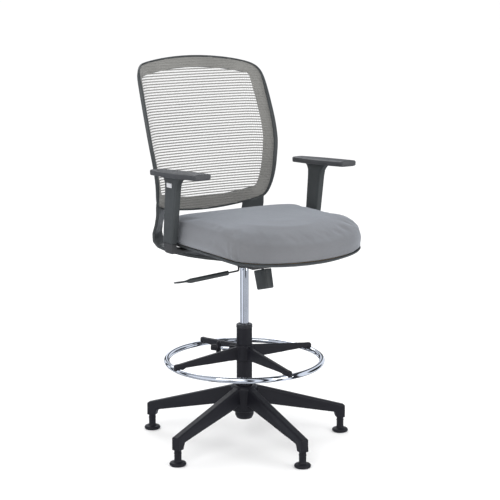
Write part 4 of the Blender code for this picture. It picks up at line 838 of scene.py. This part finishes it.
# ------------------------------------------------------------------ seat
@dataclass
class Seat:
    """The seat: a moulded shell and an upholstered cushion with a drooping front edge."""

    shop: Workshop
    half_width: float = 0.244
    rear_y: float = 0.136
    front_y: float = -0.395
    front_bow: float = 0.080
    front_squareness: float = 10.0
    rear_squareness: float = 6.5
    bottom_z: float = 0.651
    rim_z: float = 0.664
    thickness: float = 0.080
    crown: float = 0.005
    front_droop: float = 0.013
    top_droop: float = 0.021
    droop_length: float = 0.170
    rear_droop: float = 0.012
    rear_length: float = 0.130
    swell: float = 0.0030
    swell_cap: float = 0.006
    voxel: float = 0.0055
    cloth_frames: int = 20

    def edge(self, share: float, inset: float) -> tuple[float, float]:
        """The seat in plan: a rounded square whose front bows forward.

        Args:
            share: The share of a turn round it.
            inset: How far inside the edge.

        Returns:
            Its x and y, from the column's axis.
        """
        angle = FULL_TURN * share
        angle += 0.15 * math.sin(4.0 * angle)
        c, s = math.cos(angle), math.sin(angle)
        power = self.front_squareness if s < 0 else self.rear_squareness
        radius = (abs(c) ** power + abs(s) ** power) ** (-1.0 / power)
        front = self.front_y + self.front_bow
        half_length, middle = (self.rear_y - front) / 2.0, (self.rear_y + front) / 2.0
        x_unit, y_unit = radius * c, radius * s
        y = middle + y_unit * (half_length - inset)
        if y_unit < 0:
            y += y_unit * self.front_bow * (1.0 - x_unit * x_unit)
        return x_unit * (self.half_width - inset), y

    def fall(self, y: float, amount: float) -> float:
        """How far the front edge falls away."""
        return amount * smooth_step((self.front_y + self.droop_length - y) / self.droop_length)

    def ring_point(self, levels: Sequence[Point], share: float, row: int) -> Vector:
        """A point on one of the seat's rings.

        Args:
            levels: The rings, each (inset, height, fall).
            share: The share of a turn round it.
            row: Which ring.

        Returns:
            The point.
        """
        inset, height, fall = levels[row]
        x, y = self.edge(share, inset)
        rise = max(0.0, height - self.rim_z) / self.thickness
        sag = self.rear_droop * rise * smooth_step((y - self.rear_y + self.rear_length) / self.rear_length)
        return Vector((x, y + SETBACK, height - self.fall(y, fall) - sag))

    def build_shell(self) -> None:
        """Makes the moulded shell under the cushion."""
        bottom, rim, fall = self.bottom_z, self.rim_z, self.front_droop
        floor = bottom + 0.004
        levels = [
            (0.150, bottom, 0.0),
            (0.075, bottom, fall * 0.3),
            (0.018, bottom + 0.001, fall),
            (0.006, rim - 0.006, fall),
            (0.003, rim, fall),
            (0.010, rim, fall),
            (0.014, floor, fall),
            (0.075, floor, fall * 0.3),
            (0.150, floor, 0.0),
        ]
        piece = self.shop.wrapped(
            "seat_pan", 192, len(levels), lambda share, row: self.ring_point(levels, share, row)
        )
        self.shop.modify(piece, "BEVEL", width=0.0012, segments=2, limit_method="ANGLE", angle_limit=0.6)
        self.shop.finish(piece, "seat", "frame_plastic", ["seat_shell"])

    def cushion_start(self) -> bpy.types.Object:
        """The cushion before it swells: its rings a little inside the cover's real size."""
        base, top = self.rim_z + 0.0003, self.rim_z + self.thickness
        low, high, thin = self.front_droop, self.front_droop + self.top_droop, self.swell
        levels = [
            (0.150, base, 0.0),
            (0.075, base, low * 0.3),
            (0.007, base, low),
            (0.003 + thin, base + 0.002, low),
            (-0.003 + thin, base + self.thickness * 0.22, low * 1.1),
            (-0.004 + thin, base + self.thickness * 0.45, low * 1.2),
            (-0.002 + thin, base + self.thickness * 0.66, high * 0.9),
            (0.000 + thin, top - 0.012 - thin, high * 0.95),
            (0.005 + thin, top - 0.0035 - thin, high),
            (0.014 + thin, top - 0.0005 - thin, high * 0.97),
            (0.040, top - thin, high * 0.85),
            (0.095, top + self.crown * 0.6 - thin, high * 0.4),
            (0.160, top + self.crown - thin, 0.0),
        ]
        return self.shop.wrapped(
            "seat_upholstery", 160, len(levels), lambda share, row: self.ring_point(levels, share, row)
        )

    def swell_cover(self, piece: bpy.types.Object) -> None:
        """Blows the cover up against its flat base, as foam fills it, and caps how far it moves.

        Args:
            piece: The remeshed cushion.
        """
        held = piece.vertex_groups.new(name="held")
        base = self.rim_z + 0.006
        for vertex in piece.data.vertices:
            if vertex.co.z < base - self.fall(vertex.co.y - SETBACK, self.front_droop):
                held.add([vertex.index], 1.0, "REPLACE")
        start = [vertex.co.copy() for vertex in piece.data.vertices]
        self.shop.pick(piece)
        cloth = piece.modifiers.new("cover", "CLOTH")
        settings = cloth.settings
        settings.quality = 5
        settings.mass = 0.25
        settings.tension_stiffness = settings.compression_stiffness = 12.0
        settings.bending_stiffness = 0.8
        settings.vertex_group_mass = "held"
        settings.use_pressure = True
        settings.uniform_pressure_force = 4.0
        settings.effector_weights.gravity = 0.0
        cloth.point_cache.frame_start, cloth.point_cache.frame_end = 1, self.cloth_frames
        scene = bpy.context.scene
        scene.frame_start, scene.frame_end = 1, self.cloth_frames
        for number in range(1, self.cloth_frames + 1):
            scene.frame_set(number)
        bpy.ops.object.modifier_apply(modifier=cloth.name)
        scene.frame_set(1)
        for vertex, before in zip(piece.data.vertices, start):
            moved = vertex.co - before
            if moved.length > self.swell_cap:
                vertex.co = before + moved * (self.swell_cap / moved.length)
        piece.vertex_groups.clear()

    def pull_creases(self, piece: bpy.types.Object) -> None:
        """Sinks the short pulled creases where the cover is gathered round its front corners.

        Args:
            piece: The swollen cushion.
        """
        creases = [
            (0.236, -0.285, 0.0022, 0.0050, 0.85),
            (0.226, -0.306, 0.0030, 0.0060, 1.00),
            (0.208, -0.322, 0.0016, 0.0060, 0.70),
        ]
        base = self.rim_z - self.front_droop
        height = self.thickness
        middle = Vector((0.0, -0.10 + SETBACK, 0.0))
        front = [v.index for v in piece.data.vertices if v.co.y < -0.2 and v.normal.z > -0.5]
        for index in front:
            vertex = piece.data.vertices[index]
            rise = (vertex.co.z - base) / height
            fade = smooth_step(rise / 0.15) * smooth_step((1.05 - rise) / 0.45)
            inward = middle - vertex.co
            inward.z = 0.0
            inward.normalize()
            sink = 0.0
            for x, y, depth, width, reach in creases:
                drift = 0.010 * rise
                gap = math.hypot(abs(vertex.co.x) - x + drift, vertex.co.y - SETBACK - y - drift)
                sink += depth * math.exp(-((gap / width) ** 2)) * reach
                sink -= depth * 0.35 * math.exp(-(((gap - 2.0 * width) / width) ** 2)) * reach
            vertex.co += inward * sink * fade

    def build_cushion(self) -> None:
        """Makes the upholstered cushion."""
        piece = self.cushion_start()
        self.shop.modify(piece, "REMESH", mode="VOXEL", voxel_size=self.voxel, adaptivity=0.0)
        self.swell_cover(piece)
        self.shop.modify(piece, "SMOOTH", factor=0.5, iterations=2)
        self.shop.modify(piece, "SUBSURF", levels=1, render_levels=1)
        self.pull_creases(piece)
        self.shop.finish(piece, "seat", "grey_fabric", ["seat_cushion"], 80.0)

    def build_brackets(self) -> None:
        """Makes the bracket under the shell and the feet of the two arms."""
        piece = self.shop.softened("seat_bracket", "seat_cradle", 0.0012, 2)
        self.shop.finish(piece, "seat", "painted_casting", ["seat_bracket"], 60.0)
        for side in Side:
            piece = self.shop.softened(f"arm_bracket_{side.tag}", f"arm_foot_{side.tag}", 0.0012, 3)
            self.shop.finish(piece, "seat", "painted_casting", [f"arm_bracket_{side.tag}"], 60.0)

    def build(self) -> None:
        """Makes the whole seat."""
        self.build_shell()
        self.build_cushion()
        self.build_brackets()


# ------------------------------------------------------------------ arms
@dataclass
class Arms:
    """The two height-adjustable arms: a sleeve, a pad on a hard base, and a button."""

    shop: Workshop
    centre_x: float = 0.2655
    top_z: float = 0.877
    pad_thickness: float = 0.018
    pad_front: float = -0.188
    pad_rear: float = 0.100
    slope: float = 0.06
    half_front: float = 0.028
    half_middle: float = 0.037
    half_rear: float = 0.022
    groove_depth: float = 0.0011
    button_travel: float = 0.0025
    button_room: float = 0.0006
    rows: int = 72

    def half_width(self, share: float) -> float:
        """The pad's half width along its length, from 0 at the front to 1 at the rear."""
        middle = math.sin(math.pi * min(share * 1.1, 1.0)) ** 0.8
        ends = self.half_front + (self.half_rear - self.half_front) * share
        return ends + (self.half_middle - self.half_front) * middle

    def pad_point(self, side: Side, share: float, row: int) -> Vector:
        """A point on a pad's skin, with the seam between its soft top and its hard base.

        Args:
            side: Which arm.
            share: The share of a turn round the section.
            row: The section along the pad.

        Returns:
            The point.
        """
        along = 0.5 - 0.5 * math.cos(math.pi * row / (self.rows - 1))
        y = self.pad_front + (self.pad_rear - self.pad_front) * along
        front = min(1.0, along / 0.030)
        rear = min(1.0, (1.0 - along) / 0.070)
        nose = math.sqrt(1.0 - (1.0 - front) ** 2)
        heel = math.sqrt(1.0 - (1.0 - rear) ** 2)
        across = (0.88 + 0.12 * nose) * (0.30 + 0.70 * heel)
        up = (0.72 + 0.28 * nose) * (0.60 + 0.40 * heel)
        half = self.pad_thickness / 2
        x, z = superellipse(share, self.half_width(along) * across, half * up, 5.0)
        crown = 0.0012 * (1.0 - (x / 0.04) ** 2) if z > 0 else 0.0
        seam = math.exp(-(((z + half * 0.30) / 0.0009) ** 2))
        x -= math.copysign(self.groove_depth * seam, x)
        z += crown
        middle = self.top_z + 0.0003 + half - self.slope * y - 0.002
        return Vector((side.value * self.centre_x + x, y + SETBACK, middle + z))

    def build(self) -> None:
        """Makes both arms."""
        for side in Side:
            pad = self.shop.wrapped(
                f"arm_cap_{side.tag}",
                96,
                self.rows,
                lambda share, row, side=side: self.pad_point(side, share, row),
            )
            self.shop.modify(pad, "BEVEL", width=0.0012, segments=3, limit_method="ANGLE", angle_limit=0.8)
            self.shop.finish(pad, f"arm_{side.tag}", "arm_pad_grey", [f"arm_pad_{side.tag}"], 60.0)
            sleeve = self.shop.softened(f"arm_sleeve_{side.tag}", f"arm_shroud_{side.tag}", 0.0011, 4)
            press = (-side.value * self.button_travel, 0.0, 0.0)
            self.shop.recess(sleeve, f"arm_button_{side.tag}", self.button_room, press)
            self.shop.finish(sleeve, f"arm_{side.tag}", "frame_plastic", [f"arm_sleeve_{side.tag}"], 60.0)
            button = self.shop.softened(f"arm_button_{side.tag}", f"arm_key_{side.tag}", 0.0005, 2)
            key_node = f"arm_button_{side.tag}"
            self.shop.finish(button, f"button_{side.tag}", "button_light_grey", [key_node], 60.0)


# ------------------------------------------------------------------ mechanism
@dataclass
class Mechanism:
    """The tilt mechanism under the seat, with its tension knob and height lever."""

    shop: Workshop
    knob_top: Point = (0.0, -0.101, 0.585)
    knob_lean: float = 16.0
    knob_radius: float = 0.0275
    flutes: int = 18

    def build_knob(self) -> None:
        """Makes the fluted tension knob."""
        lean = math.radians(self.knob_lean)
        up = Vector((0.0, math.sin(lean), math.cos(lean)))
        top = Vector(self.knob_top) + Vector((0.0, SETBACK, 0.0))
        piece = self.shop.softened("tension_knob", "tension_grip", 0.0009, 3)
        for vertex in piece.data.vertices:
            arm = vertex.co - top
            height = arm.dot(up)
            spoke = arm - up * height
            if spoke.length > self.knob_radius * 0.9:
                angle = math.atan2(spoke.x, spoke.dot(up.cross(Vector((1, 0, 0)))))
                cut = 0.0007 * max(0.0, math.cos(self.flutes * angle)) ** 2
                vertex.co -= spoke.normalized() * cut
        self.shop.finish(piece, "tension", "frame_plastic", ["tension_knob"], 60.0)

    def build(self) -> None:
        """Makes the mechanism's visible pieces."""
        for node, name, body, slot, grain in (
            ("mechanism_housing", "tilt_casting", "lift", "painted_casting", 0.0013),
            ("height_lever", "lever_rod", "lever", "painted_casting", 0.0007),
            ("lever_grip", "lever_handle", "lever", "frame_plastic", 0.0007),
        ):
            piece = self.shop.softened(node, name, grain, 3)
            self.shop.finish(piece, body, slot, [node], 60.0)
        self.build_knob()


# ------------------------------------------------------------------ column and base
@dataclass
class Column:
    """The gas column: chrome cylinder, guide bush and sleeve."""

    shop: Workshop
    cylinder_radius: float = 0.014

    def build(self) -> None:
        """Makes the column's visible pieces."""
        axis = (0.0, SETBACK, 0.0)
        low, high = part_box("pressure_cylinder")
        r = self.cylinder_radius
        neck = high.z - 0.046
        profile = [
            (0.0, low.z), (r - 0.0016, low.z), (r - 0.0004, low.z + 0.0006), (r, low.z + 0.0018),
            (r, neck - 0.004), (r, neck - 0.0012), (r - 0.0003, neck), (r - 0.0016, high.z - 0.0015),
            (r - 0.0028, high.z), (0.0, high.z),
        ]
        piece = self.shop.turned("lift_cylinder", profile, 96, axis)
        self.shop.finish(piece, "lift", "chrome", ["pressure_cylinder"])
        cap = self.shop.softened("guide_bush", "column_cap", 0.0009, 3)
        self.shop.finish(cap, "base", "black_acetal", ["guide_bush"], 60.0)
        sleeve = self.shop.softened("column_tube", "column_sleeve", 0.0013, 5)
        self.shop.finish(sleeve, "base", "black_nylon", ["column_tube"], 60.0)


@dataclass
class Base:
    """The five-legged star base and its glides."""

    shop: Workshop
    legs: int = 5
    foot_radius: float = 0.026
    foot_height: float = 0.012
    neck_radius: float = 0.0112
    height: float = 0.0487
    stem_radius: float = 0.0055
    stem_length: float = 0.022

    def glide_profile(self) -> list[tuple[float, float]]:
        """The glide from the middle of its sole to the end of its stem."""
        foot, neck, rise = self.foot_radius, self.neck_radius, self.foot_height
        profile = [(0.0, 0.0008), (foot * 0.80, 0.0008), (foot * 0.84, 0.0)]
        for i in range(9):
            angle = -math.pi / 2 + math.pi * i / 8
            profile.append((foot - 0.0050 + 0.0050 * math.cos(angle), 0.0055 + 0.0055 * math.sin(angle)))
        for i in range(1, 7):
            share = i / 7
            radius = foot * 0.80 + (neck - foot * 0.80) * math.sin(share * math.pi / 2)
            profile.append((radius, 0.011 + (rise + 0.006 - 0.011) * (1.0 - math.cos(share * math.pi / 2))))
        profile += [
            (neck, rise + 0.010),
            (neck, self.height - 0.012), (neck + 0.0008, self.height - 0.0112),
            (neck + 0.0008, self.height - 0.0088), (neck, self.height - 0.008),
            (neck, self.height - 0.0006), (neck - 0.0006, self.height),
            (self.stem_radius, self.height), (self.stem_radius, self.height + self.stem_length),
            (0.0, self.height + self.stem_length),
        ]
        return profile

    def build(self) -> None:
        """Makes the star and its glides."""
        star = self.shop.softened("star_base", "star_casting", 0.0019, 4)
        self.shop.finish(star, "base", "black_nylon", ["star_base"], 60.0)
        pattern = self.shop.turned("glide", self.glide_profile(), 56, (0.0, 0.0, 0.0))
        for number in range(1, self.legs + 1):
            low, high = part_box(f"glide_{number}")
            glide = bpy.data.objects.new(f"foot_glide_{number}", pattern.data.copy())
            bpy.context.scene.collection.objects.link(glide)
            glide.data.transform(Matrix.Translation(((low.x + high.x) / 2, (low.y + high.y) / 2, low.z)))
            self.shop.finish(glide, "base", "black_nylon", [f"glide_{number}"])
        bpy.data.objects.remove(pattern, do_unlink=True)


@dataclass
class FootRing:
    """The chrome foot ring, its spider and its clamp."""

    shop: Workshop
    ring_radius: float = 0.2468
    tube_radius: float = 0.0088
    ring_z: float = 0.266
    weld_angle: float = 100.0

    def build_ring(self) -> None:
        """Makes the bent tube, with the faint bead where its ends are welded."""
        bpy.ops.object.select_all(action="DESELECT")
        bpy.ops.mesh.primitive_torus_add(
            major_radius=self.ring_radius,
            minor_radius=self.tube_radius,
            major_segments=216,
            minor_segments=28,
        )
        piece = bpy.context.object
        piece.name = piece.data.name = "foot_hoop"
        weld = math.radians(self.weld_angle)
        for vertex in piece.data.vertices:
            angle = math.atan2(vertex.co.y, vertex.co.x)
            centre = Vector((math.cos(angle), math.sin(angle), 0.0)) * self.ring_radius
            bead = math.exp(-(((angle - weld) * self.ring_radius / 0.003) ** 2))
            vertex.co = centre + (vertex.co - centre) * (1.0 + 0.05 * bead)
        piece.data.transform(Matrix.Translation((0.0, SETBACK, self.ring_z)))
        self.shop.finish(piece, "footring", "chrome", ["footring_tube"])

    def build(self) -> None:
        """Makes the ring, the spider and the clamp."""
        self.build_ring()
        spider = self.shop.softened("footring_spider", "ring_spider", 0.0013, 4)
        self.shop.finish(spider, "footring", "black_nylon", ["footring_spider"], 60.0)
        knob = self.shop.softened("clamp_knob", "clamp_grip", 0.0009, 3)
        self.shop.finish(knob, "clamp", "black_nylon", ["clamp_knob"], 60.0)


# ------------------------------------------------------------------ studio
@dataclass
class Studio:
    """A pale floor, soft light and the camera."""

    azimuth: float = -33.347
    elevation: float = 11.221
    distance: float = 4.838
    lens: float = 110.845
    aim_z: float = 0.621
    aside: float = 0.018
    floor_sun: float = 0.45

    def build_floor(self) -> None:
        """Lays the floor."""
        bpy.ops.object.select_all(action="DESELECT")
        bpy.ops.mesh.primitive_plane_add(size=120.0, location=(0.0, 0.0, 0.0))
        floor = bpy.context.object
        floor.name = "studio_floor"
        bench = Bench.named("studio_white")
        tone = bench.noise(bench.place(), 2.0, 2.0)
        white = bench.shades(tone, (0.93, 0.93, 0.935), (0.95, 0.95, 0.95), 0.3, 0.7)
        bench.link(white, bench.shader.inputs["Base Color"])
        bench.shader.inputs["Roughness"].default_value = 0.9
        bench.shader.inputs["Specular IOR Level"].default_value = 0.2
        floor.data.materials.append(bench.material)
        floor.visible_glossy = False
        lit = bpy.data.collections.new("lit_floor")
        lit.objects.link(floor)
        sun = bpy.data.lights.new("floor_light", "SUN")
        sun.energy, sun.angle = self.floor_sun, math.radians(75.0)
        holder = bpy.data.objects.new("floor_light", sun)
        bpy.context.scene.collection.objects.link(holder)
        holder.rotation_euler = (math.radians(18.0), math.radians(14.0), 0.0)
        holder.light_linking.receiver_collection = lit

    def build_world(self) -> None:
        """Makes the room: white to the eye, with soft dark and bright patches for polished metal to show."""
        bpy.context.scene.view_settings.view_transform = "Standard"
        world = bpy.data.worlds.new("studio")
        bpy.context.scene.world = world
        world.use_nodes = True
        tree = world.node_tree
        back = tree.nodes["Background"]
        back.inputs["Strength"].default_value = 1.0
        where = tree.nodes.new("ShaderNodeTexCoord")
        panels = tree.nodes.new("ShaderNodeTexWave")
        panels.bands_direction = "X"
        panels.inputs["Scale"].default_value = 0.9
        panels.inputs["Distortion"].default_value = 1.2
        panels.inputs["Detail"].default_value = 0.0
        panels.inputs["Phase Offset"].default_value = 0.8
        ramp = tree.nodes.new("ShaderNodeValToRGB")
        ramp.color_ramp.elements[0].position = 0.22
        ramp.color_ramp.elements[0].color = (0.03, 0.032, 0.038, 1.0)
        ramp.color_ramp.elements[1].position = 0.62
        ramp.color_ramp.elements[1].color = (0.80, 0.84, 0.92, 1.0)
        ray = tree.nodes.new("ShaderNodeLightPath")
        shine = tree.nodes.new("ShaderNodeMix")
        shine.data_type = "RGBA"
        shine.inputs[6].default_value = (1.0, 1.0, 1.0, 1.0)
        for source, target in (
            (where.outputs["Generated"], panels.inputs["Vector"]),
            (panels.outputs["Fac"], ramp.inputs["Fac"]),
            (ray.outputs["Is Glossy Ray"], shine.inputs[0]),
            (ramp.outputs["Color"], shine.inputs[7]),
            (shine.outputs[2], back.inputs["Color"]),
        ):
            tree.links.new(source, target)

    @staticmethod
    def build_lamp(name: str, place: Point, size: float, power: float) -> None:
        """Hangs a soft box that faces the chair.

        Args:
            name: The lamp's name.
            place: Where it hangs.
            size: Its side.
            power: Its watts.
        """
        lamp = bpy.data.lights.new(name, "AREA")
        lamp.size, lamp.energy = size, power
        holder = bpy.data.objects.new(name, lamp)
        bpy.context.scene.collection.objects.link(holder)
        holder.location = place
        holder.rotation_euler = (Vector((0, 0, 0.7)) - Vector(place)).to_track_quat("-Z", "Y").to_euler()

    def build_camera(self) -> None:
        """Places the camera."""
        turn, rise = math.radians(self.azimuth), math.radians(self.elevation)
        back = Vector((math.sin(turn) * math.cos(rise), -math.cos(turn) * math.cos(rise), math.sin(rise)))
        right = Vector((math.cos(turn), math.sin(turn), 0.0))
        up = back.cross(right)
        lens = bpy.data.cameras.new("eye")
        lens.lens, lens.sensor_width, lens.sensor_fit = self.lens, 36.0, "HORIZONTAL"
        lens.clip_end = 400.0
        camera = bpy.data.objects.new("eye", lens)
        bpy.context.scene.collection.objects.link(camera)
        place = Vector((0.0, SETBACK, self.aim_z)) + back * self.distance + right * self.aside
        camera.matrix_world = Matrix.Translation(place) @ Matrix((right, up, back)).transposed().to_4x4()
        bpy.context.scene.camera = camera

    def build(self) -> None:
        """Makes the studio."""
        self.build_floor()
        self.build_world()
        self.build_lamp("key", (-2.4, -1.6, 2.6), 2.2, 40.0)
        self.build_lamp("fill", (1.2, -3.0, 1.2), 1.8, 26.0)
        self.build_lamp("rear", (0.6, 2.6, 2.8), 2.2, 25.0)
        self.build_camera()


def main() -> None:
    """Builds the chair round its frame, then the studio."""
    logging.basicConfig(level=logging.INFO, format="%(name)s: %(message)s")
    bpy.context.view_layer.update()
    shop = Workshop()
    shop.dress_kept_nodes()
    for kind in (Base, Column, FootRing, Mechanism, Seat, Arms, Back):
        kind(shop).build()
    Studio().build()
    LOG.info("%d pieces made", shop.count)


if __name__ == "__main__":
    main()
